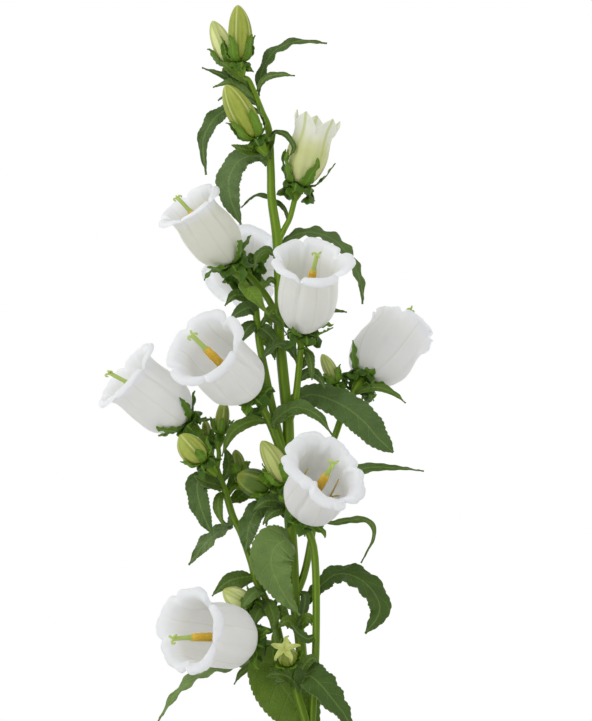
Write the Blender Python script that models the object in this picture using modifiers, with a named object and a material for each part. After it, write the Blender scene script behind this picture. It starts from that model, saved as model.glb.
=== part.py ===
"""A bunch of white bellflowers (Canterbury bells) standing in a plain stoneware vase.

Three cut stems carry eight open bells, one bell that is half open, twelve buds and toothed
leaves. Metres, +Z up; the vase stands on Z = 0 and its axis is the Z axis. The front, from
which the bunch is seen best, is -Y.

The stems, leaves and flowers are laid out on a grid of GRID metres: x to the right, y away
from the front, z up from BUNCH_Z. A radius or width in a table is in grid steps too.
"""

import math

import bmesh
import bpy
from mathutils import Matrix, Vector

# Driving dimensions
GRID = 0.00055
BUNCH_Z = 0.222
CLEARANCE = 0.00035

VASE_HEIGHT = 0.200
VASE_WALL = 0.0045
VASE_FLOOR = 0.005
VASE_SIDES = 24
# Height and outer radius of the vase, from its foot to its lip
VASE_OUTLINE = ((0.0, 0.036), (0.003, 0.0375), (0.045, 0.0465), (0.085, 0.049), (0.130, 0.0455),
                (0.168, 0.0365), (0.186, 0.0345), (0.1975, 0.0375))
VASE_ROWS = 7
LIP_ROUND = 0.0018
WATER_LEVEL = 0.150
WATER_GAP = 0.00042
HOLE_SIDES = 12
HOLE_OVERRUN = 0.02

BELL_LENGTH = 0.048
BELL_WALL = 0.0009
BELL_SIDES = 20
LOBES = 5
# Radius and height along an open bell, on its outside, from its base to its rolled lip
BELL_OUTLINE = ((0.0, 0.0), (0.0050, 0.0014), (0.0125, 0.0075), (0.0166, 0.0200), (0.0166, 0.0370),
                (0.0220, BELL_LENGTH))
# The lobes start at this share of the length; between two of them the lip dips and is drawn in
THROAT = 0.7
NOTCH_DEPTH = 0.0016
NOTCH_PULL = 0.0012

# Radius of the calyx's cup under an open bell, and how its rim follows the bell's base
BELL_CUP = 0.0047
BELL_SLOPE = BELL_OUTLINE[1][1] / BELL_OUTLINE[1][0]

LEAF_THICKNESS = 0.0007
LEAF_SEAT = 0.0009
SEPAL_THICKNESS = 0.0008
CUP_GAP = 1.3 * CLEARANCE
BELL_SEAT = CUP_GAP + SEPAL_THICKNESS + CLEARANCE
BUD_SEAT = CUP_GAP + SEPAL_THICKNESS / 2
TUBE_UNIT = 0.001
STEM_ROUNDNESS = 2
PEDICEL_ROUNDNESS = 1

# The three stems: x, y, z and radius. The first two steps of each stand straight in the water.
STEM_MAIN = ((22, 10, -393.5, 6), (14.5, 5, -120, 6), (12.8, 3.9, -60, 6), (7, 0, -10, 5.8),
             (1, 0, 75, 5.5), (-4, 0, 110, 5.2), (-6.5, 0, 160, 5.2), (-10, 0, 208, 6),
             (-11.5, 0, 294, 5.7), (-14, 0, 320, 5.6), (-18, 0, 360, 5.4), (-21, 0, 390, 5.3),
             (-20, 0, 420, 5.2), (-22.5, 0, 480, 5), (-28, 0, 520, 4.4), (-29, 0, 550, 4),
             (-31, 0, 589, 3.6), (-38, 0, 608, 3.3), (-45, 0, 626, 3.1))
STEM_LEFT = ((-34, 36, -393.5, 4.4), (-15.4, 21, -120, 4.2), (-11.3, 17.7, -60, 4.2),
             (-10, 14, -1, 4), (-20, 13, 80, 3.8), (-32, 11, 115, 3.6), (-44, 9, 139, 3.6),
             (-49, 9, 158, 3.6), (-59, 8, 187, 3.6), (-67, 6, 203, 3.6), (-74, 5, 226, 3.5),
             (-81, 4, 244, 3.5), (-87, 4, 260, 3.4))
STEM_RIGHT = ((28, -40, -393.5, 4.4), (16, -30, -120, 4.2), (13.4, -27.8, -60, 4.2),
              (12, -27, -1, 4), (16, -27, 80, 3.8), (14.5, -25, 168, 3.8))

# Open bells: the stem, the pedicel's route from it, then the bell's base, axis, turn, size and
# the reach of its five sepals
BELLS = {
    "bell_high_left": ("main", ((-11, 0, 255, 4.2), (-17, -3, 270, 4.2), (-23, -3, 295, 4),
                                (-29, -3, 320, 4), (-35, -3, 350, 3.8), (-40, -3, 375, 3.8),
                                (-43, -3, 400, 3.6), (-46, -2, 418, 3.6)),
                       (-69, -9, 457), (-0.54, -0.32, 0.78), 10, 0.88, (1, 1, 0.8, 0.9, 1)),
    "bell_back": ("main", ((-21, 0, 398, 3.6), (-31, 6, 420, 3.4), (-43, 9, 436, 3.4)),
                  (-55, 36, 450), (-0.05, 0.99, 0.10), 0, 1.04, (0.8, 0.8, 0.8, 0.8, 0.8)),
    "bell_middle": ("main", ((-12, 0, 294, 3.8), (-5, -9, 318, 3.6), (-1.5, -14, 345, 3.4)),
                    (3, -36, 389), (0.10, -0.55, 0.83), 24, 0.98, (1, 1, 0.8, 1, 1)),
    "bell_left": ("main", ((-10, 0, 236, 4.4), (-16, -8, 260, 4.2), (-23, -11, 280, 4),
                           (-31, -10, 300, 4)),
                  (-50, -27, 328), (-0.50, -0.70, 0.51), 0, 1.04, (0.8, 0.8, 0.8, 0.8, 0.8)),
    "bell_far_left": ("left", (),
                      (-114, 0, 298), (-0.76, -0.22, 0.61), 20, 0.93, (1, 0.8, 0.7, 0.9, 1)),
    "bell_right": ("main", ((-5, 0, 122, 4), (4, 2, 145, 3.8), (10, 5, 172, 3.6),
                            (16, 7, 210, 3.5), (25, 10, 255, 3.5), (35, 14, 283, 3.4),
                            (43, 17, 305, 3.4)),
                   (64, 27, 341), (0.51, 0.56, 0.65), 0, 0.95, (1, 1, 0.8, 0.8, 1)),
    "bell_front": ("right", (),
                   (6, -46, 211), (0.22, -0.84, 0.48), 10, 1.03, (0.9, 0.9, 0.9, 0.9, 0.9)),
    "bell_low": ("left", ((-20, 13, 80, 3.4), (-25, 4, 76, 3.4)),
                 (-50, -27, 82), (-0.67, -0.72, 0.17), 18, 1.04, (1, 0.9, 0.8, 0.9, 1)),
}

# The way each style leans in its bell, in degrees round the bell's axis, and how far it has
# leant at the bell's mouth
STYLE_LEAN = {"bell_high_left": (205, 0.004), "bell_back": (0, 0.003), "bell_middle": (265, 0.001),
              "bell_left": (145, 0.004), "bell_far_left": (190, 0.007), "bell_right": (130, 0.008),
              "bell_front": (10, 0.002), "bell_low": (220, 0.005)}

# The half-open bell: its route, base, axis, length and radius
HALF_OPEN = ("main", ((-22, 0, 478, 3.2), (-15, -1, 492, 2.9), (-10, -1, 502, 2.8)),
             (-1, -2, 535), (0.27, -0.05, 0.96), 72, 21)

# Buds: the stem, the route from it, then base, tip, radius and the turn of the calyx
BUDS = {
    "bud_top": ("main", ((-45, 0, 626, 3), (-52, -4, 640, 3)), (-60, -9, 658), (-62, -11, 714), 12, 0),
    "bud_top_left": ("main", ((-45, 0, 626, 2.6), (-56, 8, 640, 2.6)),
                     (-71, 15, 657), (-88, 17, 701), 10, 12),
    "bud_high": ("main", ((-30.5, 0, 578, 3), (-33, -10, 573, 3)), (-44, -21, 581), (-74, -26, 633), 14, 20),
    "bud_far_left": ("left", ((-84, 4, 252, 2.8), (-88, -10, 251, 2.8)),
                     (-96, -25, 260), (-119, -30, 286), 13, 0),
    "bud_steep": ("main", ((-10, 0, 208, 3), (-12, -16, 216, 3)), (-15, -25, 238), (-38, -30, 280), 11, 8),
    "bud_level": ("main", ((-10, 0, 206, 3), (-17, -3, 224, 3)), (-30, -3, 232), (-63, -6, 245), 14, 24),
    "bud_small": ("left", ((-86, 4, 257, 2.2), (-89, 14, 264, 2.2)),
                  (-91, 20, 277), (-96, 25, 300), 5, 0),
    "bud_hidden": ("left", ((-83, 4, 250, 2.4), (-81, 2, 264, 2.4)),
                   (-80, 2, 286), (-76, 4, 320), 7, 14),
    "bud_right": ("main", ((40, 16, 296, 2.4), (46, 18, 312, 2.4)),
                  (36, 18, 337), (22, 15, 366), 7, 30),
    "bud_low": ("left", ((-38, 10, 127, 2.4), (-42, 5, 122, 2.4)),
                (-50, 2, 114), (-77, -2, 130), 11, 6),
    "bud_star": ("right", ((11.5, -27.5, -30, 4.5), (6, -29, 0, 4.5), (-2, -30, 28, 4.5)),
                 (-11, -37, 62), (-15, -57, 77), 10, 18),
    "bud_dark": ("left", ((-73, 5, 224, 2.4), (-66, 12, 232, 2.4)),
                 (-60, 16, 245), (-65, 18, 270), 7, 0),
}

# Leaves that are pieces of their own: the stem, the width, where along its length the leaf is
# fullest, the way its upper side faces, then the midrib from the stem to the tip
LEAVES = {
    "leaf_top": ("main", 13, 0.45, (-0.5, -0.7, 0.5),
                 ((-44, 0, 623), (-40, 5, 641), (-34, 6, 658), (-23, 5, 671), (-2, 3, 679), (27, 0, 677))),
    "leaf_top_left": ("main", 16, 0.6, (-0.3, -0.9, 0.3),
                      ((-38, 0, 608), (-52, 8, 613), (-67, 11, 613), (-79, 10, 608), (-90, 5, 596),
                       (-97, 0, 577), (-94, -2, 545))),
    "leaf_high_left": ("main", 25, 0.62, (-0.3, -0.9, 0.3),
                       ((-30, 0, 556), (-40, 4, 563), (-51, 3, 564), (-63, 0, 557), (-71, -4, 540),
                        (-69, -7, 520), (-59, -7, 495))),
    "leaf_high_right": ("main", 16.5, 0.5, (0.3, -0.6, 0.7),
                        ((-22, 0, 474), (-10, 4, 483), (10, 6, 488), (34, 7, 480), (50, 7, 462),
                         (61, 6, 438), (63, 4, 416))),
    "leaf_bright": ("bell_high_left", 16, 0.45, (0.3, -0.9, 0.4),
                    ((-48, -2, 424), (-54, -14, 432), (-49, -20, 428), (-42, -22, 419), (-30, -22, 404))),
    "leaf_saddle": ("bell_middle", 13, 0.5, (-0.2, -0.6, 0.8),
                    ((-1, -16, 357), (-9, -18, 371), (-19, -18, 376), (-32, -14, 369), (-41, -10, 354))),
    "leaf_big": ("main", 31, 0.60, (0.1, -0.95, 0.25),
                 ((-13, 0, 318), (-2, 10, 321), (15, 8, 325), (42, -4, 315), (63, -10, 299),
                  (77, -13, 283), (93, -13, 268))),
    "leaf_middle": ("bell_left", 17, 0.5, (0.0, -0.8, 0.6),
                    ((-27, -11, 290), (-25, -19, 299), (-14, -22, 309), (-2, -23, 313), (17, -23, 305),
                     (32, -20, 286))),
    "leaf_left": ("left", 21, 0.5, (-0.3, -0.9, 0.3),
                  ((-77, 4, 231), (-89, -2, 238), (-102, -5, 238), (-101, -7, 220), (-95, -7, 202),
                   (-88, -6, 186))),
    "leaf_grey": ("left", 16, 0.5, (0.5, -0.4, 0.75),
                  ((-68, 6, 204), (-75, 13, 193), (-95, 17, 176), (-112, 17, 154))),
    "leaf_hanging": ("main", 20, 0.55, (-0.2, -0.9, 0.3),
                     ((-10, 0, 203), (-25, 9, 212), (-41, 6, 211), (-50, -2, 197), (-53, -6, 182),
                      (-54, -7, 167))),
    "leaf_central": ("main", 40, 0.40, (0.1, -0.9, 0.4),
                     ((-8, 0, 178), (-13, -19, 181), (-24, -24, 175), (-29, -27, 160), (-24, -28, 143),
                      (-14, -26, 124), (0, -22, 106))),
    "leaf_right": ("main", 28, 0.64, (0.3, -0.7, 0.6),
                   ((-4, 0, 105), (6, 14, 117), (21, 10, 134), (37, 4, 145), (56, -3, 143), (74, -7, 127),
                    (79, -8, 108), (65, -8, 87))),
    "leaf_low_right": ("bud_star", 31, 0.47, (0.4, -0.8, 0.4),
                       ((-2, -30, 29), (3, -36, 43), (9, -43, 48), (18, -47, 42), (31, -48, 27),
                        (44, -46, 10), (54, -44, -9))),
    "leaf_low_left": ("left", 18, 0.45, (-0.3, -0.5, 0.8),
                      ((-17, 13, 56), (-45, 11, 57), (-72, 6, 54), (-100, 1, 46), (-125, -3, 25),
                       (-143, -8, -2))),
    "leaf_lowest": ("left", 56, 0.56, (0.05, -0.97, 0.2),
                    ((-15, 13, 38), (-22, -4, 52), (-30, -10, 54), (-22, -14, 41), (-7, -15, 20),
                     (4, -15, 0), (11, -15, -24))),
}

# Small leaves that are one with their stem: the stem's node, width, facing and midrib
SPRIGS = (
    ("main", 7, (0, -0.9, 0.4), ((-45, 0, 626), (-35, -4, 641), (-20, -6, 645), (-5, -6, 644))),
    ("main", 9, (0, -0.9, 0.4), ((-45, 0, 624), (-60, -3, 634), (-76, -4, 644), (-98, -4, 652))),
    ("main", 9, (0, -0.9, 0.4), ((-43, 0, 620), (-56, -6, 629), (-70, -8, 637), (-87, -8, 632))),
    ("main", 8, (-0.2, -0.9, 0.4), ((-40, 0, 613), (-54, -5, 622), (-68, -6, 628), (-82, -6, 619))),
    ("main", 6, (0, -0.9, 0.4), ((-31, 0, 573), (-25, -10, 587), (-13, -21, 583), (-6, -25, 570),
                                 (-14, -22, 559))),
    ("main", 6, (0, -0.7, 0.7), ((-12, -1, 498), (-16, 8, 512), (-32, 13, 523), (-45, 11, 525),
                                 (-59, 7, 513))),
    ("main", 9, (-0.3, -0.8, 0.5), ((-22, 0, 462), (-33, -6, 470), (-42, -14, 464), (-46, -18, 449))),
    ("main", 12, (-0.2, -0.9, 0.3), ((-46, -2, 418), (-56, -8, 424), (-66, -11, 424), (-75, -12, 414))),
    ("main", 14, (0, -0.9, 0.3), ((-44, -3, 404), (-50, -11, 412), (-60, -15, 408), (-71, -15, 400))),
    ("main", 8, (0.2, -0.8, 0.5), ((-41, -3, 386), (-46, -10, 392), (-53, -13, 385))),
    ("main", 7, (0.2, -0.8, 0.5), ((-41, -3, 390), (-33, -9, 402), (-23, -11, 398), (-13, -9, 386))),
    ("main", 6, (0, -0.8, 0.5), ((-21, 0, 434), (-29, -6, 440), (-36, -8, 432))),
    ("main", 8, (0.3, -0.8, 0.4), ((-0.5, -16, 350), (9, -18, 361), (13, -20, 349))),
    ("main", 12, (0.2, -0.8, 0.5), ((-2, -13, 338), (8, -15, 347), (18, -17, 343), (25, -18, 332))),
    ("main", 7, (-0.3, -0.9, 0), ((-31, -10, 302), (-36, -12, 314), (-27, -14, 331))),
    ("main", 12, (-0.1, -0.9, 0.4), ((-30, -10, 297), (-44, -17, 300), (-62, -17, 293), (-71, -15, 282),
                                     (-78, -13, 264))),
    ("main", 11, (0, -0.9, 0.3), ((-33, -9, 305), (-46, -4, 306), (-56, -2, 291))),
    ("main", 8, (0, -0.9, 0.3), ((-10, 0, 211), (-22, -7, 215), (-31, -9, 207), (-34, -8, 194))),
    ("main", 8, (0.2, -0.9, 0.3), ((-10, 0, 206), (0, -7, 205), (5, -10, 184))),
    ("main", 13, (0.1, -0.8, 0.5), ((25, 9, 255), (45, 10, 247), (70, 8, 252), (98, 5, 252), (124, 2, 249))),
    ("main", 7, (0.3, -0.8, 0.5), ((15, 7, 204), (32, 5, 197), (50, 1, 200), (68, -1, 199),
                                   (74, -2, 184), (61, -2, 157))),
    ("main", 9, (0.1, -0.9, 0.3), ((-3, 1, 128), (5, -6, 124), (3, -9, 108), (-3, -10, 94))),
    ("left", 10, (-0.3, -0.9, 0.2), ((-75, 5, 228), (-81, -3, 222), (-81, -6, 208), (-76, -6, 193))),
    ("left", 12, (-0.1, -0.9, 0.4), ((-37, 10, 126), (-42, -8, 130), (-52, -15, 122), (-60, -17, 108))),
    ("left", 12, (-0.2, -0.8, 0.5), ((-44, 9, 139), (-54, 17, 139), (-66, 19, 127))),
    ("left", 7, (0, -0.9, 0.3), ((-26, 12, 100), (-27, 2, 112), (-21, -4, 124))),
    ("left", 8, (-0.2, -0.8, 0.5), ((-26, 1, 75), (-40, -4, 62), (-58, -4, 48), (-66, -4, 36))),
    ("left", 9, (0, -0.9, 0.3), ((-32, 11, 115), (-39, 1, 108), (-46, -5, 95))),
    ("right", 10, (0.2, -0.8, 0.5), ((16, -27, 88), (8, -33, 84), (-2, -38, 90), (-9, -40, 100))),
)

# Colours, linear
WHITE = (0.86, 0.87, 0.84)
CREAM = (0.72, 0.76, 0.50)
BUD_GREEN = (0.36, 0.42, 0.08)
LEAF_GREEN = (0.055, 0.13, 0.03)
STEM_GREEN = (0.14, 0.25, 0.03)
CALYX_GREEN = (0.05, 0.14, 0.015)
POLLEN = (0.75, 0.52, 0.06)
STONEWARE = (0.62, 0.60, 0.55)
WATER = (0.80, 0.88, 0.86)


# Scene, collections and materials

def clear_scene():
    for obj in list(bpy.data.objects):
        bpy.data.objects.remove(obj, do_unlink=True)


def collection(name):
    made = bpy.data.collections.new(name)
    bpy.context.scene.collection.children.link(made)
    return made


def material(name, colour, roughness, transmission=0.0):
    made = bpy.data.materials.new(name)
    made.use_nodes = True
    shader = made.node_tree.nodes["Principled BSDF"]
    shader.inputs["Base Color"].default_value = (*colour, 1.0)
    shader.inputs["Roughness"].default_value = roughness
    shader.inputs["Metallic"].default_value = 0.0
    shader.inputs["Transmission Weight"].default_value = transmission
    made.diffuse_color = (*colour, 1.0)
    return made


def mesh_object(name, bm, finish, home, matrix=None):
    """The object made from a bmesh, which is freed, in the collection home."""
    mesh = bpy.data.meshes.new(name)
    bm.to_mesh(mesh)
    bm.free()
    mesh.materials.append(finish)
    obj = bpy.data.objects.new(name, mesh)
    if matrix is not None:
        obj.matrix_world = matrix
    home.objects.link(obj)
    return obj


def thicken(obj, thickness, offset):
    """Splits the faces the same way on both sides, then gives the surface its thickness."""
    obj.modifiers.new("Triangles", "TRIANGULATE").quad_method = "FIXED"
    wall = obj.modifiers.new("Thickness", "SOLIDIFY")
    wall.thickness = thickness
    wall.offset = offset


# Places and smooth lines

def place(point):
    """A grid point, in metres."""
    x, y, z = point[:3]
    return Vector((x * GRID, y * GRID, z * GRID + BUNCH_Z))


def smooth(points, steps):
    """A smooth line through the points, each a Vector, with this many steps in all."""
    line = [points[0] * 2 - points[1], *points, points[-1] * 2 - points[-2]]
    spans = len(points) - 1
    result = []
    for i in range(steps + 1):
        along = i * spans / steps
        k = min(int(along), spans - 1)
        t = along - k
        a, b, c, d = line[k:k + 4]
        result.append(0.5 * (2 * b + (c - a) * t + (2 * a - 5 * b + 4 * c - d) * t ** 2
                             + (3 * b - a - 3 * c + d) * t ** 3))
    return result


def with_radius(route):
    """A table's points in metres, with the radius as a fourth number."""
    return [Vector((*place(point), point[3] * GRID)) for point in route]


def axis_frame(base, axis, turn_degrees=0):
    """The matrix that stands a flower, modelled along +Z, on its base."""
    turn = Matrix.Rotation(math.radians(turn_degrees), 4, "Z")
    upright = Vector(axis).normalized().to_track_quat("Z", "Y").to_matrix().to_4x4()
    return Matrix.Translation(place(base)) @ upright @ turn


def around(angle, radius, height):
    return Vector((radius * math.cos(angle), radius * math.sin(angle), height))


# Stems

def tube(name, line, finish, home, roundness=PEDICEL_ROUNDNESS):
    """A closed tube along a line of (x, y, z, radius), as a mesh."""
    curve = bpy.data.curves.new(name, "CURVE")
    curve.dimensions = "3D"
    curve.bevel_depth = TUBE_UNIT
    curve.bevel_resolution = roundness
    curve.use_fill_caps = True
    spline = curve.splines.new("POLY")
    spline.points.add(len(line) - 1)
    for target, point in zip(spline.points, line):
        target.co = (*point[:3], 1)
        target.radius = point[3] / TUBE_UNIT
    guide = bpy.data.objects.new(name + "_line", curve)
    home.objects.link(guide)
    bpy.context.view_layer.update()
    graph = bpy.context.evaluated_depsgraph_get()
    mesh = bpy.data.meshes.new_from_object(guide.evaluated_get(graph))
    bm = bmesh.new()
    bm.from_mesh(mesh)
    bmesh.ops.remove_doubles(bm, verts=bm.verts, dist=0.00001)
    bmesh.ops.recalc_face_normals(bm, faces=bm.faces)
    bpy.data.objects.remove(guide, do_unlink=True)
    bpy.data.meshes.remove(mesh)
    return mesh_object(name, bm, finish, home)


# The ovary under a flower, and how far below the flower its pedicel turns onto the flower's axis
OVARY_RADIUS = 0.0034
OVARY_WIDEST = 0.0052
OVARY_TOP = 0.9 * OVARY_RADIUS
APPROACH = 0.0100


def pedicel_line(route, base, axis, steps, end_gap, swell):
    """The line of a pedicel: its route, then straight along the flower's axis to the ovary."""
    axis = Vector(axis).normalized()
    foot = place(base)
    start = with_radius(route)
    thin = start[-1][3]

    def on_axis(below, radius):
        return Vector((*(foot - axis * below), radius))

    line = smooth(start + [on_axis(APPROACH * swell, thin)], steps)
    line.append(on_axis(OVARY_WIDEST * swell, OVARY_RADIUS * swell))
    line.append(on_axis(end_gap, OVARY_TOP * swell))
    return line


def nearest_on(line, point):
    """The nearest point of a line, with its radius, and the way the line runs there."""
    best, along = line[0], None
    for a, b in zip(line, line[1:]):
        span = (b - a).to_3d()
        t = max(0.0, min(1.0, (point - a.to_3d()).dot(span) / span.length_squared))
        found = a + (b - a) * t
        if along is None or (found.to_3d() - point).length < (best.to_3d() - point).length:
            best, along = found, span.normalized()
    return best, along


# Leaves

# How far a leaf's teeth stand in and out, how far its halves fold up, and its narrow stalk
TOOTH = 0.10
FOLD = 0.16
LEAF_STALK = 0.05
LEAF_FOOT = 0.16
LEAF_POINT = 0.0004
SPRIG_FULLEST = 0.45
# Rows of a narrow leaf and of one at least BROAD grid steps wide
NARROW_ROWS = 8
BROAD_ROWS = 12
BROAD = 21


def leaf_width(t, fullest):
    """The share of a leaf's full width at t, from 0 at its stalk to 1 at its tip."""
    past_stalk = max(0.0, t - LEAF_STALK) / (1 - LEAF_STALK)
    bulge = past_stalk ** (math.log(0.5) / math.log(fullest))
    return LEAF_FOOT * (1 - t) ** 2 + math.sin(math.pi * bulge)


def blade(name, midrib, width, fullest, face, rows, across, finish, home):
    """A toothed leaf along its midrib. Each row of a flat grid is carried to a place on it."""
    bm = bmesh.new()
    bmesh.ops.create_grid(bm, x_segments=across, y_segments=rows, size=1)
    line = smooth(midrib, rows)
    for vert in bm.verts:
        side = vert.co.x
        row = round((vert.co.y + 1) / 2 * rows)
        ahead = line[min(row + 1, rows)] - line[max(row - 1, 0)]
        up = Vector(face).normalized()
        up = (up - ahead.normalized() * up.dot(ahead.normalized())).normalized()
        out = ahead.normalized().cross(up)
        half = max(width / 2 * leaf_width(row / rows, fullest), LEAF_POINT)
        if 0 < row < rows:
            half *= 1 + (TOOTH if row % 2 else -TOOTH)
        vert.co = line[row] + out * side * half + up * abs(side) * half * FOLD
    obj = mesh_object(name, bm, finish, home)
    thicken(obj, LEAF_THICKNESS, 0)
    return obj


# Flowers

def bell(name, size, finish, home, matrix):
    """An open bell: an outline turned about its axis, its lip drawn in between five lobes."""
    bm = bmesh.new()
    outline = [bm.verts.new((radius * size, 0, height * size)) for radius, height in BELL_OUTLINE]
    edges = [bm.edges.new(pair) for pair in zip(outline, outline[1:])]
    bmesh.ops.spin(bm, geom=outline + edges, cent=(0, 0, 0), axis=(0, 0, 1), angle=math.tau,
                   steps=BELL_SIDES, use_merge=True)
    bmesh.ops.remove_doubles(bm, verts=bm.verts, dist=0.00001)
    for vert in bm.verts:
        share = max(0.0, vert.co.z / (BELL_LENGTH * size) - THROAT) / (1 - THROAT)
        angle = math.atan2(vert.co.y, vert.co.x)
        between = (0.5 - 0.5 * math.cos(LOBES * angle)) ** 2
        radius = math.hypot(vert.co.x, vert.co.y) - NOTCH_PULL * share * between
        vert.co = around(angle, radius, vert.co.z - NOTCH_DEPTH * share * between)
    point_outwards(bm)
    obj = mesh_object(name, bm, finish, home, matrix)
    thicken(obj, BELL_WALL, -1)
    return obj


def point_outwards(bm):
    """Turns an open shell's faces away from its axis."""
    bmesh.ops.recalc_face_normals(bm, faces=bm.faces)
    bm.normal_update()
    if sum(face.normal.dot(face.calc_center_median().to_2d().to_3d()) for face in bm.faces) < 0:
        bmesh.ops.reverse_faces(bm, faces=bm.faces)


SEPALS = 5
# Rows of a sepal and of a folded-back appendage on an open bell: radius, height and half width
BELL_SEPAL = ((0.0090, 0.0010, 0.0025), (0.0135, 0.0030, 0.0023), (0.0190, 0.0070, 0.0003))
BELL_APPENDAGE = ((0.0084, -0.0012, 0.0023), (0.0074, -0.0072, 0.0020))


def calyx(name, rim, slope, sepal, appendage, reach, finish, home, matrix):
    """A cup under a flower with five sepals and, between them, five appendages.

    The cup starts as a disc of ten triangles, and every second edge of its rim is drawn out in
    rows to a sepal, the others to an appendage.
    """
    bm = bmesh.new()
    bmesh.ops.create_circle(bm, cap_ends=True, cap_tris=True, segments=2 * SEPALS, radius=rim)
    bmesh.ops.rotate(bm, verts=bm.verts, cent=(0, 0, 0),
                     matrix=Matrix.Rotation(math.pi / (2 * SEPALS), 3, "Z"))
    for vert in bm.verts:
        vert.co.z = slope * vert.co.to_2d().length - CUP_GAP
    rim_edges = [edge for edge in bm.edges if edge.is_boundary]
    for edge in rim_edges:
        middle = (edge.verts[0].co + edge.verts[1].co) / 2
        angle = math.atan2(middle.y, middle.x)
        number = round(angle / (math.pi / SEPALS))
        rows, share = (appendage, 1) if number % 2 else (sepal, reach[number // 2 % SEPALS])
        draw_out(bm, edge, angle, rows, share, rim)
    bmesh.ops.recalc_face_normals(bm, faces=bm.faces)
    bm.normal_update()
    centre_face = min(bm.faces, key=lambda face: face.calc_center_median().to_2d().length)
    if centre_face.normal.z < 0:
        bmesh.ops.reverse_faces(bm, faces=bm.faces)
    obj = mesh_object(name, bm, finish, home, matrix)
    thicken(obj, SEPAL_THICKNESS, -1)
    return obj


def draw_out(bm, edge, angle, rows, share, rim):
    """Draws one rim edge out through rows of (radius, height, half width)."""
    outward = around(angle, 1, 0)
    sideways = around(angle + math.pi / 2, 1, 0)
    for radius, height, half in rows:
        signs = [1 if vert.co.dot(sideways) > 0 else -1 for vert in edge.verts]
        made = bmesh.ops.extrude_edge_only(bm, edges=[edge])["geom"]
        fresh = [item for item in made if isinstance(item, bmesh.types.BMVert)]
        edge = next(item for item in made if isinstance(item, bmesh.types.BMEdge)
                    and set(item.verts) == set(fresh))
        reached = rim + (radius - rim) * share
        fresh.sort(key=lambda vert: vert.co.dot(sideways))
        for vert, sign in zip(fresh, sorted(signs)):
            vert.co = outward * reached + sideways * sign * half + Vector((0, 0, height * share))


# Height and radius along a style, from its foot to its stigma
STYLE_LINE = ((0.0016, 0.0010), (0.0170, 0.0009), (0.0235, 0.0022), (0.0415, 0.0021),
              (0.0445, 0.0012), (0.0515, 0.0011), (0.0532, 0.0021), (0.0545, 0.0015))


def style(name, size, lean, finish, home, matrix):
    """The style of a bell, thick with pollen below its stigma, leaning a little to one side."""
    degrees, reach = lean
    bend = around(math.radians(degrees), reach, 0)
    line = []
    for height, radius in STYLE_LINE:
        side = bend * (height / BELL_LENGTH) ** 2
        line.append(Vector((side.x * size, side.y * size, height * size, radius)))
    obj = tube(name, line, finish, home)
    obj.matrix_world = matrix
    return obj


# Share of a bud's radius and length at each ring, from its base to its tip
BUD_OUTLINE = ((0, 0), (0.62, 0.07), (0.94, 0.27), (1, 0.50), (0.80, 0.73), (0.42, 0.92), (0, 1))
BUD_GROOVE = 0.88
BUD_SIDES = 2 * LOBES


def bud(name, radius, length, finish, home, matrix):
    """A closed bud: a sphere drawn out to a spindle, with five ribs."""
    bm = bmesh.new()
    bmesh.ops.create_uvsphere(bm, u_segments=BUD_SIDES, v_segments=len(BUD_OUTLINE) - 1, radius=1)
    for vert in bm.verts:
        ring = round((1 - math.acos(max(-1, min(1, vert.co.z))) / math.pi) * (len(BUD_OUTLINE) - 1))
        share, along = BUD_OUTLINE[ring]
        angle = math.atan2(vert.co.y, vert.co.x)
        rib = 1 if round(angle / (math.tau / BUD_SIDES)) % 2 == 0 else BUD_GROOVE
        vert.co = around(angle, share * radius * rib, along * length)
    return mesh_object(name, bm, finish, home, matrix)


# Share of the radius and of the length at each tip of a bud that opens as a star
STAR_FROM = 0.9
STAR_TIP = (1.45, 0.90)
STAR_HOLLOW = (0.30, 0.80)


def star_bud(name, radius, length, finish, home, matrix):
    """A bud whose five tips have just turned out."""
    obj = bud(name, radius, length, finish, home, matrix)
    for vert in obj.data.vertices:
        if vert.co.z < STAR_FROM * length:
            continue
        angle = math.atan2(vert.co.y, vert.co.x)
        rib = round(angle / (math.tau / BUD_SIDES)) % 2 == 0
        if vert.co.to_2d().length < 1e-6:
            vert.co = (0, 0, STAR_HOLLOW[1] * length)
        else:
            share, along = STAR_TIP if rib else STAR_HOLLOW
            vert.co = around(angle, share * radius, along * length)
    return obj


# Share of the half-open bell's radius and length at each ring, and at the tips of its teeth
HALF_OPEN_OUTLINE = ((0, 0), (0.45, 0.045), (0.82, 0.18), (1.0, 0.42), (0.92, 0.66), (0.98, 0.80))
HALF_OPEN_TIP = (1.10, 1.0)
HALF_OPEN_NECK = 0.75
HALF_OPEN_CUP = 0.0044
HALF_OPEN_SEPAL = ((0.0096, 0.0030, 0.0028), (0.0128, 0.0095, 0.0024), (0.0146, 0.0170, 0.0003))


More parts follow.
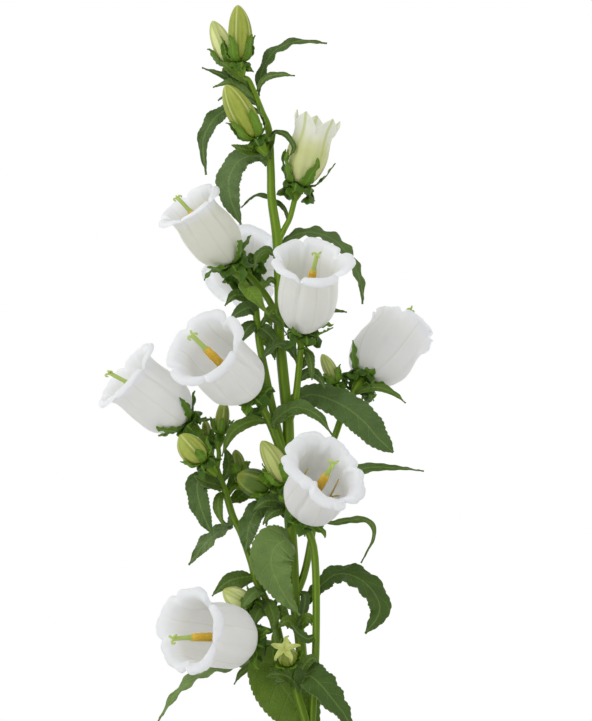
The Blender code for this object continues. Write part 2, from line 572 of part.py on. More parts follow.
def half_open_bell(name, radius, length, finish, home, matrix):
    """A bell that is still a narrow cup with five pointed teeth."""
    bm = bmesh.new()
    outline = [bm.verts.new((share * radius, 0, along * length)) for share, along in HALF_OPEN_OUTLINE]
    edges = [bm.edges.new(pair) for pair in zip(outline, outline[1:])]
    bmesh.ops.spin(bm, geom=outline + edges, cent=(0, 0, 0), axis=(0, 0, 1), angle=math.tau,
                   steps=BELL_SIDES, use_merge=True)
    bmesh.ops.remove_doubles(bm, verts=bm.verts, dist=0.00001)
    for vert in bm.verts:
        if vert.co.z < HALF_OPEN_NECK * length:
            continue
        angle = math.atan2(vert.co.y, vert.co.x)
        tooth = 1 - abs((angle * LOBES / math.tau) % 1 - 0.5) * 2
        share = 1 - tooth
        radius_here = (HALF_OPEN_OUTLINE[-1][0] * (1 - share) + HALF_OPEN_TIP[0] * share) * radius
        height = (HALF_OPEN_OUTLINE[-1][1] * (1 - share) + HALF_OPEN_TIP[1] * share) * length
        vert.co = around(angle, radius_here, height)
    point_outwards(bm)
    obj = mesh_object(name, bm, finish, home, matrix)
    thicken(obj, BELL_WALL, -1)
    return obj


# Vase and water

def vase_radius(height):
    """The vase's outer radius at a height, along a smooth line through its outline."""
    line = smooth([Vector((radius, level)) for level, radius in VASE_OUTLINE], 80)
    for low, high in zip(line, line[1:]):
        if high.y >= height:
            return low.x + (high.x - low.x) * (height - low.y) / (high.y - low.y)
    return line[-1].x


def turned(name, profile, finish, home):
    """A profile of (radius, height) turned about the Z axis."""
    mesh = bpy.data.meshes.new(name)
    points = [(radius, 0, height) for radius, height in profile]
    mesh.from_pydata(points, [(i, i + 1) for i in range(len(points) - 1)], [])
    mesh.materials.append(finish)
    obj = bpy.data.objects.new(name, mesh)
    home.objects.link(obj)
    screw = obj.modifiers.new("Turn", "SCREW")
    screw.steps = VASE_SIDES
    screw.render_steps = VASE_SIDES
    screw.use_merge_vertices = True
    screw.merge_threshold = 0.00001
    return obj


def vase_profile():
    """From the middle of the floor up the inside, over the lip and down to the foot."""
    heights = [VASE_FLOOR + (VASE_HEIGHT - VASE_FLOOR) * i / VASE_ROWS for i in range(VASE_ROWS)]
    inside = [(vase_radius(height) - VASE_WALL, height) for height in heights]
    lip = vase_radius(VASE_HEIGHT)
    top = [(lip - VASE_WALL, VASE_HEIGHT - LIP_ROUND), (lip - VASE_WALL * 0.6, VASE_HEIGHT),
           (lip - VASE_WALL * 0.4, VASE_HEIGHT), (lip, VASE_HEIGHT - LIP_ROUND)]
    outside = [(vase_radius(height), height) for height in reversed(heights[1:])]
    foot = [(radius, height) for height, radius in reversed(VASE_OUTLINE[:2])]
    return [(0, VASE_FLOOR)] + inside + top + outside + foot + [(0, 0)]


def water_profile():
    """The water, a little inside the vase, on the vase's own rows, from its top down."""
    heights = [VASE_FLOOR + (VASE_HEIGHT - VASE_FLOOR) * i / VASE_ROWS for i in range(VASE_ROWS)]
    bottom = VASE_FLOOR + WATER_GAP
    side = [(vase_radius(height) - VASE_WALL - WATER_GAP, max(height, bottom))
            for height in heights if height < WATER_LEVEL]
    top_radius = vase_radius(WATER_LEVEL) - VASE_WALL - 2 * WATER_GAP
    return [(0, WATER_LEVEL), (top_radius, WATER_LEVEL)] + side[::-1] + [(0, bottom)]


def stem_hole(name, route, home):
    """A straight cutter along the part of a stem that stands in the water."""
    low, high = place(route[0]), place(route[1])
    along = (high - low).normalized()
    radius = (route[0][3] * GRID + WATER_GAP) / math.cos(math.pi / HOLE_SIDES)
    bm = bmesh.new()
    bmesh.ops.create_cone(bm, cap_ends=True, segments=HOLE_SIDES, radius1=radius, radius2=radius,
                          depth=(high - low).length + HOLE_OVERRUN)
    matrix = Matrix.Translation((low + high) / 2) @ along.to_track_quat("Z", "Y").to_matrix().to_4x4()
    mesh = bpy.data.meshes.new(name)
    bm.to_mesh(mesh)
    bm.free()
    cutter = bpy.data.objects.new(name, mesh)
    cutter.matrix_world = matrix
    cutter.hide_render = True
    cutter.display_type = "WIRE"
    home.objects.link(cutter)
    return cutter


# Putting it together

def fuse(base, repeats):
    """Joins everything in the collection repeats into the base object and empties it."""
    joint = base.modifiers.new("Grown together", "BOOLEAN")
    joint.operation = "UNION"
    joint.operand_type = "COLLECTION"
    joint.collection = repeats
    joint.solver = "EXACT"
    bpy.context.view_layer.update()
    graph = bpy.context.evaluated_depsgraph_get()
    mesh = bpy.data.meshes.new_from_object(base.evaluated_get(graph))
    base.modifiers.clear()
    base.data = mesh
    for obj in list(repeats.objects):
        bpy.data.objects.remove(obj, do_unlink=True)
    bpy.data.collections.remove(repeats)


# A small bud has a small ovary and small appendages
SMALL_OVARY = 0.45
BUD_FULL_SIZE = 0.012
# Share of a bud's first ring that its cup reaches, and how far its appendage stands out, hangs
# down and spreads
BUD_CUP = 0.85
BUD_APPENDAGE = (0.0028, -0.0036, 0.0018)


def bud_sepal(radius, length):
    """Rows of a sepal that stands close round a bud."""
    return ((radius + 0.0013, length * 0.24, 0.0027), (radius + 0.0022, length * 0.60, 0.0004))


def main():
    clear_scene()
    home = collection("bellflower_bunch_in_vase")
    cutters = collection("cutters")

    white = material("white_corolla", WHITE, 0.55)
    cream = material("cream_corolla", CREAM, 0.5)
    bud_green = material("bud_green", BUD_GREEN, 0.45)
    leaf_green = material("leaf_green", LEAF_GREEN, 0.5)
    stem_green = material("stem_green", STEM_GREEN, 0.45)
    calyx_green = material("calyx_green", CALYX_GREEN, 0.55)
    pollen = material("pollen_yellow", POLLEN, 0.9)
    stoneware = material("stoneware_glaze", STONEWARE, 0.35)
    water = material("water", WATER, 0.05, 0.9)

    # Each stem's route and the steps of its smooth line
    stems = {"main": (STEM_MAIN, 26), "left": (STEM_LEFT, 14), "right": (STEM_RIGHT, 7)}
    ends = {"left": "bell_far_left", "right": "bell_front"}
    lines = {}
    for key, (route, steps) in stems.items():
        if key in ends:
            base, axis = BELLS[ends[key]][2:4]
            upper = pedicel_line(route[1:], base, axis, steps, BELL_SEAT, 1)
        else:
            upper = smooth(with_radius(route[1:]), steps)
        lines[key] = with_radius(route[:1]) + upper

    trunks = {key: tube("stem_" + key, line, stem_green, home, STEM_ROUNDNESS)
              for key, line in lines.items()}
    repeats = {key: collection("grown_on_" + key) for key in trunks}

    for name, (key, route, base, axis, turn, size, reach) in BELLS.items():
        if route:
            lines[name] = pedicel_line(route, base, axis, 2 * len(route), BELL_SEAT, 1)
            tube(name + "_pedicel", lines[name], stem_green, repeats[key])
        matrix = axis_frame(base, axis, turn)
        bell(name, size, white, home, matrix)
        calyx(name + "_calyx", BELL_CUP, BELL_SLOPE, BELL_SEPAL, BELL_APPENDAGE, reach,
              calyx_green, home, matrix)
        style(name + "_style", size, STYLE_LEAN[name], pollen, home, matrix)

    key, route, base, axis, length, radius = HALF_OPEN
    tube("half_open_pedicel", pedicel_line(route, base, axis, 6, BELL_SEAT, 0.9), stem_green,
         repeats[key])
    matrix = axis_frame(base, axis)
    half_open_slope = (HALF_OPEN_OUTLINE[1][1] * length) / (HALF_OPEN_OUTLINE[1][0] * radius)
    half_open_bell("bell_half_open", radius * GRID, length * GRID, cream, home, matrix)
    calyx("bell_half_open_calyx", HALF_OPEN_CUP, half_open_slope, HALF_OPEN_SEPAL, BELL_APPENDAGE,
          (1, 1, 1, 1, 1), calyx_green, home, matrix)

    for name, (key, route, base, tip, radius, turn) in BUDS.items():
        size = radius * GRID
        length = (place(tip) - place(base)).length
        axis = place(tip) - place(base)
        swell = min(1.0, SMALL_OVARY + size / BUD_FULL_SIZE)
        lines[name] = pedicel_line(route, base, axis, len(route), BUD_SEAT, swell)
        tube(name + "_pedicel", lines[name], stem_green, repeats[key])
        matrix = axis_frame(base, axis, turn)
        make = star_bud if name == "bud_star" else bud
        make(name, size, length, bud_green, home, matrix)
        ring, rise = BUD_OUTLINE[1]
        cup = ring * size * BUD_CUP
        out, height, half = BUD_APPENDAGE
        appendage = ((cup + out * swell, height * swell, half * swell),)
        calyx(name + "_calyx", cup, rise * length / (ring * size), bud_sepal(size, length),
              appendage, (1, 1, 1, 1, 1), calyx_green, repeats[key], matrix)

    for number, (key, width, face, midrib) in enumerate(SPRIGS):
        points = [place(point) for point in midrib]
        blade(f"sprig_{number}", points, width * GRID, SPRIG_FULLEST, face, len(points), 1, leaf_green,
              repeats[key])

    for name, (key, width, fullest, face, midrib) in LEAVES.items():
        points = [place(point) for point in midrib]
        seat, along = nearest_on(lines[key], points[0])
        out = points[1] - seat.to_3d()
        out = (out - along * out.dot(along)).normalized()
        points[0] = seat.to_3d() + out * (seat[3] + LEAF_SEAT)
        rows = BROAD_ROWS if width >= BROAD else NARROW_ROWS
        blade(name, points, width * GRID, fullest, face, rows, 2, leaf_green, home)

    for key, trunk in trunks.items():
        fuse(trunk, repeats[key])

    turned("vase", vase_profile(), stoneware, home)
    body = turned("water", water_profile(), water, home)
    for key, (route, _) in stems.items():
        cut = body.modifiers.new("Stem hole", "BOOLEAN")
        cut.operation = "DIFFERENCE"
        cut.solver = "EXACT"
        cut.object = stem_hole("hole_" + key, route, cutters)

    for obj in home.objects:
        if obj.type == "MESH":
            obj.data.shade_smooth()
            obj.data.set_sharp_from_angle(angle=math.radians(40))


main()
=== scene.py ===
# %% [markdown]
# # A bunch of white bellflowers in a stoneware vase
#
# Three cut stems of Canterbury bell stand in a plain vase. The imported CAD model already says
# where every flower, leaf and stem is and how big it is. This script keeps those places and
# gives each piece the form and the finish that the eye expects: thin petals with rolled lips,
# toothed and veined leaves, ribbed buds, crumpled calyxes.
#
# Every step has the same shape. A flat or turned blank is modelled once with Blender's own
# operators, copied for each flower or leaf, and its points are then moved to the place that the
# CAD gives. The finish is a node material that reads a few numbers kept on the points, such as
# the distance from a leaf's midrib, so a vein follows its leaf however the leaf bends.

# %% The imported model
import math
import random

import bpy
from mathutils import Matrix, Vector, noise


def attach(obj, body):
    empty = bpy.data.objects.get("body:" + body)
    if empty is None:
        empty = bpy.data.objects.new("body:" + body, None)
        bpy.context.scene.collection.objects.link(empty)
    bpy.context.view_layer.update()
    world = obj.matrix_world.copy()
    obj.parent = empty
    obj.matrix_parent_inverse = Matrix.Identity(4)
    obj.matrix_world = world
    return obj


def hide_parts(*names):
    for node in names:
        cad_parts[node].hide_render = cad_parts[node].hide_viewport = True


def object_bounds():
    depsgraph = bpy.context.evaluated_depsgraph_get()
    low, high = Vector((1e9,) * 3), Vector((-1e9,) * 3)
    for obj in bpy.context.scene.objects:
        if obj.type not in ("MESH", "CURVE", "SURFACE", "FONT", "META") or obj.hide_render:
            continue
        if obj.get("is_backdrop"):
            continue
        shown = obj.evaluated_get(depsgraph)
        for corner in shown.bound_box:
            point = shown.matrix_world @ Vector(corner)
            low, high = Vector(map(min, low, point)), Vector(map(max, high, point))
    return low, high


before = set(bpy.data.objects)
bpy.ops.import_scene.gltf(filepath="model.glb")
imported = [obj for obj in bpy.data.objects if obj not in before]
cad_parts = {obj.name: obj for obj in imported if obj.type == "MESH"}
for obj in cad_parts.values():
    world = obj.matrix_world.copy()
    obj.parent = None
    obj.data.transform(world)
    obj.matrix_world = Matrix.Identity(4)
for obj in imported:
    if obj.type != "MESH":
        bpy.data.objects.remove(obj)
cad_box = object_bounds()
print("CAD nodes:", len(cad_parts), "box:", [list(corner) for corner in cad_box])

# %% [markdown]
# ## The layout
#
# The bunch is laid out on a grid: x to the right, y away from the front, z up. The same tables
# made the CAD, so a midrib or a stem here runs exactly where its solid runs. Radii and widths
# in the tables are in grid steps too.

# %% The grid, in metres a step
GRID = 0.00055
BUNCH_Z = 0.222
CLEARANCE = 0.00035
MM = 0.001

# %% Grid points, smooth lines and frames
def place(point):
    """A grid point, in metres."""
    x, y, z = point[:3]
    return Vector((x * GRID, y * GRID, z * GRID + BUNCH_Z))


def smooth(points, steps):
    """A smooth line through the points, each a Vector, with this many steps in all."""
    line = [points[0] * 2 - points[1], *points, points[-1] * 2 - points[-2]]
    spans = len(points) - 1
    result = []
    for i in range(steps + 1):
        along = i * spans / steps
        k = min(int(along), spans - 1)
        t = along - k
        a, b, c, d = line[k:k + 4]
        result.append(0.5 * (2 * b + (c - a) * t + (2 * a - 5 * b + 4 * c - d) * t ** 2
                             + (3 * b - a - 3 * c + d) * t ** 3))
    return result


def smooth_rows(table, steps):
    """A table's (radius, height) rows, made a smooth outline with this many steps."""
    return [tuple(point) for point in smooth([Vector(row) for row in table], steps)]


def around(angle, radius, height):
    return Vector((radius * math.cos(angle), radius * math.sin(angle), height))


def axis_frame(base, axis, turn_degrees=0):
    """The matrix that stands a flower, modelled along +Z, on its base."""
    turn = Matrix.Rotation(math.radians(turn_degrees), 4, "Z")
    upright = Vector(axis).normalized().to_track_quat("Z", "Y").to_matrix().to_4x4()
    return Matrix.Translation(place(base)) @ upright @ turn


def step_between(low, high, value):
    """0 below low, 1 above high, and an even curve between."""
    t = max(0.0, min(1.0, (value - low) / (high - low)))
    return t * t * (3 - 2 * t)


print("the bunch starts", BUNCH_Z, "m up, and a grid step is", GRID / MM, "mm")

# %% [markdown]
# ## Working on one object at a time
#
# An operator acts on whatever is selected, and the CAD nodes come in selected. So each helper
# first clears the selection and then takes the one piece it is about.

# %% Selecting, copying, joining
def take(piece):
    """Makes the piece the only selected object, and the active one."""
    bpy.ops.object.select_all(action="DESELECT")
    piece.select_set(True)
    bpy.context.view_layer.objects.active = piece
    return piece


def named(name):
    """Names the active object, which is the one that was just made."""
    piece = bpy.context.active_object
    piece.name = piece.data.name = name
    return piece


def copied(piece, name):
    """A copy of the piece with its own mesh."""
    take(piece)
    bpy.ops.object.duplicate(linked=False)
    return named(name)


def joined(pieces, name):
    take(pieces[0])
    for piece in pieces:
        piece.select_set(True)
    bpy.ops.object.join()
    return named(name)


def stood(piece, matrix):
    """Moves the piece to its place and puts that place into its mesh."""
    take(piece)
    piece.matrix_world = matrix
    bpy.ops.object.transform_apply(location=True, rotation=True, scale=True)
    return piece


def removed(*pieces):
    for piece in pieces:
        take(piece)
        bpy.ops.object.delete()


# %% Modifiers, applied
def applied(piece, kind, **settings):
    take(piece)
    modifier = piece.modifiers.new(kind, kind)
    for name, value in settings.items():
        setattr(modifier, name, value)
    bpy.ops.object.modifier_apply(modifier=modifier.name)
    return piece


def kept(piece, **marks):
    """Keeps numbers on a piece's points for its material: a list, or one number for all."""
    attributes = piece.data.attributes
    for name, values in marks.items():
        if not isinstance(values, list):
            values = [values] * len(piece.data.vertices)
        attribute = attributes.get(name) or attributes.new(name, "FLOAT", "POINT")
        attribute.data.foreach_set("value", values)
    return piece


def walled(piece, thickness):
    """Gives a surface its thickness, behind its face, and marks the new wall's points."""
    points = len(piece.data.vertices)
    applied(piece, "SOLIDIFY", thickness=thickness, offset=-1)
    return kept(piece, back=[float(i >= points) for i in range(len(piece.data.vertices))])


# %% Blanks: a turned shell and a flat grid
def turned(name, outline, columns):
    """A ring drawn up and widened along an outline of (radius, height), its faces outwards."""
    bpy.ops.object.select_all(action="DESELECT")
    bpy.ops.mesh.primitive_circle_add(vertices=columns, radius=outline[0][0],
                                      location=(0, 0, outline[0][1]))
    shell = named(name)
    bpy.ops.object.transform_apply(location=True)
    bpy.ops.object.mode_set(mode="EDIT")
    bpy.ops.mesh.select_all(action="SELECT")
    for (narrow, low), (wide, high) in zip(outline, outline[1:]):
        growth = wide / narrow
        bpy.ops.mesh.extrude_region_move(TRANSFORM_OT_translate={"value": (0, 0, high - low)})
        bpy.ops.transform.resize(value=(growth, growth, 1), center_override=(0, 0, high))
    bpy.ops.mesh.select_all(action="SELECT")
    bpy.ops.mesh.flip_normals()
    bpy.ops.object.mode_set(mode="OBJECT")
    return shell


def pole_closed(shell, columns, row):
    """Merges one row of a turned shell to a single point."""
    take(shell)
    bpy.ops.object.mode_set(mode="EDIT")
    bpy.ops.mesh.select_mode(type="VERT")
    bpy.ops.mesh.select_all(action="DESELECT")
    bpy.ops.object.mode_set(mode="OBJECT")
    for vertex in shell.data.vertices[row * columns:(row + 1) * columns]:
        vertex.select = True
    bpy.ops.object.mode_set(mode="EDIT")
    bpy.ops.mesh.merge(type="CENTER")
    bpy.ops.object.mode_set(mode="OBJECT")


def flat_grid(name, across, along):
    """A flat blank from -1 to 1 each way."""
    bpy.ops.object.select_all(action="DESELECT")
    bpy.ops.mesh.primitive_grid_add(x_subdivisions=across, y_subdivisions=along, size=2,
                                    location=(0, 0, 0))
    return named(name)


# %% [markdown]
# ## Materials
#
# Plant tissue is never one colour: it has ribs, veins, a paler back and a bloom that changes
# the gloss. Each material below is a small node tree. One function turns an sRGB hex value to
# linear light, and one adds a node with its settings and links.

# %% Colours and nodes
# The output that a node hands on, where it isn't the first
HANDS_ON = {"ShaderNodeTexCoord": "Object", "ShaderNodeAttribute": "Fac", "ShaderNodeMix": 2}
# A MapRange that starts and ends evenly, not with a corner
SOFT = {"interpolation_type": "SMOOTHSTEP"}


def linear(hex_colour):
    """The linear RGBA of an sRGB hex colour."""
    channels = [int(hex_colour[i:i + 2], 16) / 255 for i in (1, 3, 5)]
    return (*(c / 12.92 if c <= 0.04045 else ((c + 0.055) / 1.055) ** 2.4 for c in channels), 1.0)


def feed(tree, target, inputs):
    """Gives a node's inputs a value, a hex colour, or what another node hands on."""
    for socket, value in inputs.items():
        if isinstance(value, bpy.types.Node):
            value = value.outputs[HANDS_ON.get(value.bl_idname, 0)]
        if isinstance(value, bpy.types.NodeSocket):
            tree.links.new(value, target.inputs[socket])
        else:
            target.inputs[socket].default_value = linear(value) if isinstance(value, str) else value


def node(tree, kind, inputs, **settings):
    """Adds a node with its settings and links.

    Inputs go by name or number. A Mix blends colours: 0 is the share of the second one, 6 and 7
    are the two. A MapRange takes its value at 0, from the range 1 to 2 to the range 3 to 4.
    """
    made = tree.nodes.new("ShaderNode" + kind)
    if kind == "Mix":
        made.data_type = "RGBA"
    for name, value in settings.items():
        setattr(made, name, value)
    feed(tree, made, inputs)
    return made


def new_material(name, roughness, marks=(), **shader_values):
    """A material, its tree and shader, object coordinates, and a node for each mark it reads.

    Constants are set on the shader itself.
    """
    material = bpy.data.materials.new(name)
    material.use_nodes = True
    tree = material.node_tree
    shader = tree.nodes["Principled BSDF"]
    feed(tree, shader, {"Roughness": roughness})
    feed(tree, shader, {socket.replace("_", " "): value for socket, value in shader_values.items()})
    readers = [node(tree, "Attribute", {}, attribute_name=mark) for mark in marks]
    return material, tree, shader, node(tree, "TexCoord", {}), *readers


# %% Dressing a finished piece
def dressed(piece, nodes, material, crease_degrees=60):
    """Gives a finished piece its material and shading, hides the CAD nodes that it stands for, and
    hangs it under the root.
    """
    take(piece)
    bpy.ops.object.shade_smooth_by_angle(angle=math.radians(crease_degrees))
    piece.data.materials.clear()
    piece.data.materials.append(material)
    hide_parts(*nodes)
    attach(piece, "root")
    print(piece.name, "faces:", len(piece.data.polygons),
          "size in mm:", [round(side / MM, 1) for side in piece.dimensions])
    return piece


# %% [markdown]
# ## Camera, floor and light
#
# The bunch is seen level and from the front, through a long lens, so that near and far flowers
# keep their relative sizes. The light is a white room: an even glow all round, a little weaker
# from below, and one large soft lamp high on the left that models the petals. The floor is pale
# and fades far out into the same white, so no horizon cuts through the picture.

# %% Camera
CAMERA_AWAY = 1.8
FRAME_PIXELS = (592, 721)
FRAME_CENTRE_X = 296
SENSOR = 36
# The picture's left edge is 300 grid steps left of the middle, and its lower edge at BUNCH_Z
FRAME_LEFT = 300

camera_data = bpy.data.cameras.new("camera")
camera_data.sensor_fit = "HORIZONTAL"
camera_data.sensor_width = SENSOR
camera_data.lens = SENSOR * CAMERA_AWAY / (FRAME_PIXELS[0] * GRID)
camera_data.clip_end = 100
camera = bpy.data.objects.new("camera", camera_data)
camera.location = ((FRAME_CENTRE_X - FRAME_LEFT) * GRID, -CAMERA_AWAY,
                   BUNCH_Z + (FRAME_PIXELS[1] / 2 - 1) * GRID)
camera.rotation_euler = (math.radians(90), 0, 0)
bpy.context.scene.collection.objects.link(camera)
bpy.context.scene.camera = camera
bpy.context.scene.view_settings.view_transform = "Standard"
print("lens in mm:", round(camera_data.lens, 1))

# %% Floor, pale near the vase and white light far out
FLOOR_RADIUS = 40
FLOOR_FADE = (0.9, 1.8)

bpy.ops.object.select_all(action="DESELECT")
bpy.ops.mesh.primitive_circle_add(vertices=96, radius=FLOOR_RADIUS, fill_type="NGON")
floor = named("floor")
bpy.ops.object.mode_set(mode="EDIT")
bpy.ops.mesh.select_all(action="SELECT")
bpy.ops.mesh.inset(thickness=FLOOR_RADIUS - FLOOR_FADE[1])
bpy.ops.object.mode_set(mode="OBJECT")

floor_material, tree, shader, where = new_material("matt_white_table", 0.9, Base_Color="#f4f4f2")
out_from_vase = node(tree, "VectorMath", {0: where}, operation="LENGTH").outputs["Value"]
fade = node(tree, "MapRange", {0: out_from_vase, 1: FLOOR_FADE[0], 2: FLOOR_FADE[1]}, **SOFT)
glow = node(tree, "Emission", {"Color": "#ffffff", "Strength": 1.0})
both = node(tree, "MixShader", {0: fade, 1: shader, 2: glow})
feed(tree, tree.nodes["Material Output"], {"Surface": both})
floor.data.materials.append(floor_material)
floor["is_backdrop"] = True
print("floor radius:", FLOOR_RADIUS, "m, fades between", FLOOR_FADE, "m")

# %% The white room
GLOW_BELOW = 0.52
GLOW_ABOVE = 0.66

world = bpy.data.worlds.new("white_room")
bpy.context.scene.world = world
world.use_nodes = True
tree = world.node_tree
tree.nodes.clear()
way = node(tree, "TexCoord", {}).outputs["Generated"]
height = node(tree, "SeparateXYZ", {0: way}).outputs["Z"]
# Full strength in a level band, which is what the camera sees behind the flowers
below = node(tree, "MapRange", {0: height, 1: -0.4, 2: -0.14, 3: GLOW_BELOW, 4: 1.0})
above = node(tree, "MapRange", {0: height, 1: 0.15, 2: 0.5, 3: 1.0, 4: GLOW_ABOVE})
level = node(tree, "Math", {0: below, 1: above}, operation="MULTIPLY")
background = node(tree, "Background", {"Color": "#ffffff", "Strength": level})
node(tree, "OutputWorld", {"Surface": background})
print("the room's glow:", GLOW_ABOVE, "above,", GLOW_BELOW, "below")

# %% The soft lamp, high on the left
LAMP_SIDE = 1.6
LAMP_PLACE = Vector((-1.5, -1.9, 2.1))
LAMP_WATTS = 22
BUNCH_MIDDLE = Vector((0, 0, 0.42))

lamp_data = bpy.data.lights.new("soft_lamp", "AREA")
lamp_data.shape = "SQUARE"
lamp_data.size = LAMP_SIDE
lamp_data.energy = LAMP_WATTS
lamp = bpy.data.objects.new("soft_lamp", lamp_data)
lamp.location = LAMP_PLACE
lamp.rotation_euler = (BUNCH_MIDDLE - LAMP_PLACE).to_track_quat("-Z", "Y").to_euler()
bpy.context.scene.collection.objects.link(lamp)
print("lamp stands", round((BUNCH_MIDDLE - LAMP_PLACE).length, 2), "m away")

# %% [markdown]
# ## Stems
#
# Each cut stem is a juicy green stalk with five blunt ribs, paler on the ribs, and thinner
# pedicels grow out of it to the flowers. A stalk could be skinned from edges or drawn as a
# curve. A curve with a radius at each point is used here, because it keeps a round section
# through every bend; it is then made a mesh, so that the ribs can be raised on it.

# %% The tables of stems, bells and buds
# The three stems: x, y, z and radius. From its first point to its second each runs straight.
STEM_MAIN = ((22, 10, -393.5, 6), (14.5, 5, -120, 6), (12.8, 3.9, -60, 6), (7, 0, -10, 5.8),
    (1, 0, 75, 5.5), (-4, 0, 110, 5.2), (-6.5, 0, 160, 5.2), (-10, 0, 208, 6), (-11.5, 0, 294, 5.7),
    (-14, 0, 320, 5.6), (-18, 0, 360, 5.4), (-21, 0, 390, 5.3), (-20, 0, 420, 5.2),
    (-22.5, 0, 480, 5), (-28, 0, 520, 4.4), (-29, 0, 550, 4), (-31, 0, 589, 3.6),
    (-38, 0, 608, 3.3), (-45, 0, 626, 3.1))
STEM_LEFT = ((-34, 36, -393.5, 4.4), (-15.4, 21, -120, 4.2), (-11.3, 17.7, -60, 4.2),
    (-10, 14, -1, 4), (-20, 13, 80, 3.8), (-32, 11, 115, 3.6), (-44, 9, 139, 3.6),
    (-49, 9, 158, 3.6), (-59, 8, 187, 3.6), (-67, 6, 203, 3.6), (-74, 5, 226, 3.5),
    (-81, 4, 244, 3.5), (-87, 4, 260, 3.4))
STEM_RIGHT = ((28, -40, -393.5, 4.4), (16, -30, -120, 4.2), (13.4, -27.8, -60, 4.2),
    (12, -27, -1, 4), (16, -27, 80, 3.8), (14.5, -25, 168, 3.8))
# Open bells: the stem, the pedicel's route from it, then the bell's base, axis, turn, size and
# the reach of its five sepals
BELLS = {
    "bell_high_left": ("main", ((-11, 0, 255, 4.2), (-17, -3, 270, 4.2), (-23, -3, 295, 4),
        (-29, -3, 320, 4), (-35, -3, 350, 3.8), (-40, -3, 375, 3.8), (-43, -3, 400, 3.6),
        (-46, -2, 418, 3.6)), (-69, -9, 457), (-0.54, -0.32, 0.78), 10, 0.88, (1, 1, 0.8, 0.9, 1)),
    "bell_back": ("main", ((-21, 0, 398, 3.6), (-31, 6, 420, 3.4), (-43, 9, 436, 3.4)),
        (-55, 36, 450), (-0.05, 0.99, 0.1), 0, 1.04, (0.8, 0.8, 0.8, 0.8, 0.8)),
    "bell_middle": ("main", ((-12, 0, 294, 3.8), (-5, -9, 318, 3.6), (-1.5, -14, 345, 3.4)),
        (3, -36, 389), (0.1, -0.55, 0.83), 24, 0.98, (1, 1, 0.8, 1, 1)),
    "bell_left": ("main", ((-10, 0, 236, 4.4), (-16, -8, 260, 4.2), (-23, -11, 280, 4),
        (-31, -10, 300, 4)), (-50, -27, 328), (-0.5, -0.7, 0.51), 0, 1.04,
        (0.8, 0.8, 0.8, 0.8, 0.8)),
    "bell_far_left": ("left", (), (-114, 0, 298), (-0.76, -0.22, 0.61), 20, 0.93,
        (1, 0.8, 0.7, 0.9, 1)),
    "bell_right": ("main", ((-5, 0, 122, 4), (4, 2, 145, 3.8), (10, 5, 172, 3.6), (16, 7, 210, 3.5),
        (25, 10, 255, 3.5), (35, 14, 283, 3.4), (43, 17, 305, 3.4)), (64, 27, 341),
        (0.51, 0.56, 0.65), 0, 0.95, (1, 1, 0.3, 1, 1)),
    "bell_front": ("right", (), (6, -46, 211), (0.22, -0.84, 0.48), 10, 1.03,
        (0.9, 0.9, 0.9, 0.9, 0.9)),
    "bell_low": ("left", ((-20, 13, 80, 3.4), (-25, 4, 76, 3.4)), (-50, -27, 82),
        (-0.67, -0.72, 0.17), 18, 1.04, (1, 0.9, 0.8, 0.9, 1)),
}
# The half-open bell: its route, base, axis, length and radius
HALF_OPEN = ("main", ((-22, 0, 478, 3.2), (-15, -1, 492, 2.9), (-10, -1, 502, 2.8)),
             (-1, -2, 535), (0.27, -0.05, 0.96), 72, 21)
# Buds: the stem, the route from it, then base, tip, radius and the turn of the calyx
BUDS = {
    "bud_top": ("main", ((-45, 0, 626, 3), (-52, -4, 640, 3)), (-60, -9, 658), (-62, -11, 714),
        12, 0),
    "bud_top_left": ("main", ((-45, 0, 626, 2.6), (-56, 8, 640, 2.6)), (-71, 15, 657),
        (-88, 17, 701), 10, 12),
    "bud_high": ("main", ((-30.5, 0, 578, 3), (-33, -10, 573, 3)), (-44, -21, 581), (-74, -26, 633),
        14, 20),
    "bud_far_left": ("left", ((-84, 4, 252, 2.8), (-88, -10, 251, 2.8)), (-96, -25, 260),
        (-119, -30, 286), 13, 0),
    "bud_steep": ("main", ((-10, 0, 208, 3), (-12, -16, 216, 3)), (-15, -25, 238), (-38, -30, 280),
        11, 8),
    "bud_level": ("main", ((-10, 0, 206, 3), (-17, -3, 224, 3)), (-30, -3, 232), (-63, -6, 245),
        14, 24),
    "bud_small": ("left", ((-86, 4, 257, 2.2), (-89, 14, 264, 2.2)), (-91, 20, 277), (-96, 25, 300),
        5, 0),
    "bud_hidden": ("left", ((-83, 4, 250, 2.4), (-81, 2, 264, 2.4)), (-80, 2, 286), (-76, 4, 320),
        7, 14),
    "bud_right": ("main", ((40, 16, 296, 2.4), (46, 18, 312, 2.4)), (36, 18, 337), (22, 15, 366),
        7, 30),
    "bud_low": ("left", ((-38, 10, 127, 2.4), (-42, 5, 122, 2.4)), (-50, 2, 114), (-77, -2, 130),
        11, 6),
    "bud_star": ("right", ((11.5, -27.5, -30, 4.5), (6, -29, 0, 4.5), (-2, -30, 28, 4.5)),
        (-11, -37, 62), (-15, -57, 77), 10, 18),
    "bud_dark": ("left", ((-73, 5, 224, 2.4), (-66, 12, 232, 2.4)), (-60, 16, 245), (-65, 18, 270),
        7, 0),
}
print(len(BELLS), "open bells and", len(BUDS), "buds")

# %% Lines of stems and pedicels
SEPAL_THICKNESS = 0.0008
CUP_GAP = 1.3 * CLEARANCE
BELL_SEAT = CUP_GAP + SEPAL_THICKNESS + CLEARANCE
BUD_SEAT = CUP_GAP + SEPAL_THICKNESS / 2
OVARY_RADIUS = 0.0034
OVARY_WIDEST = 0.0052
OVARY_TOP = 0.9 * OVARY_RADIUS
APPROACH = 0.0100
SMALL_OVARY = 0.45
BUD_FULL_SIZE = 0.012
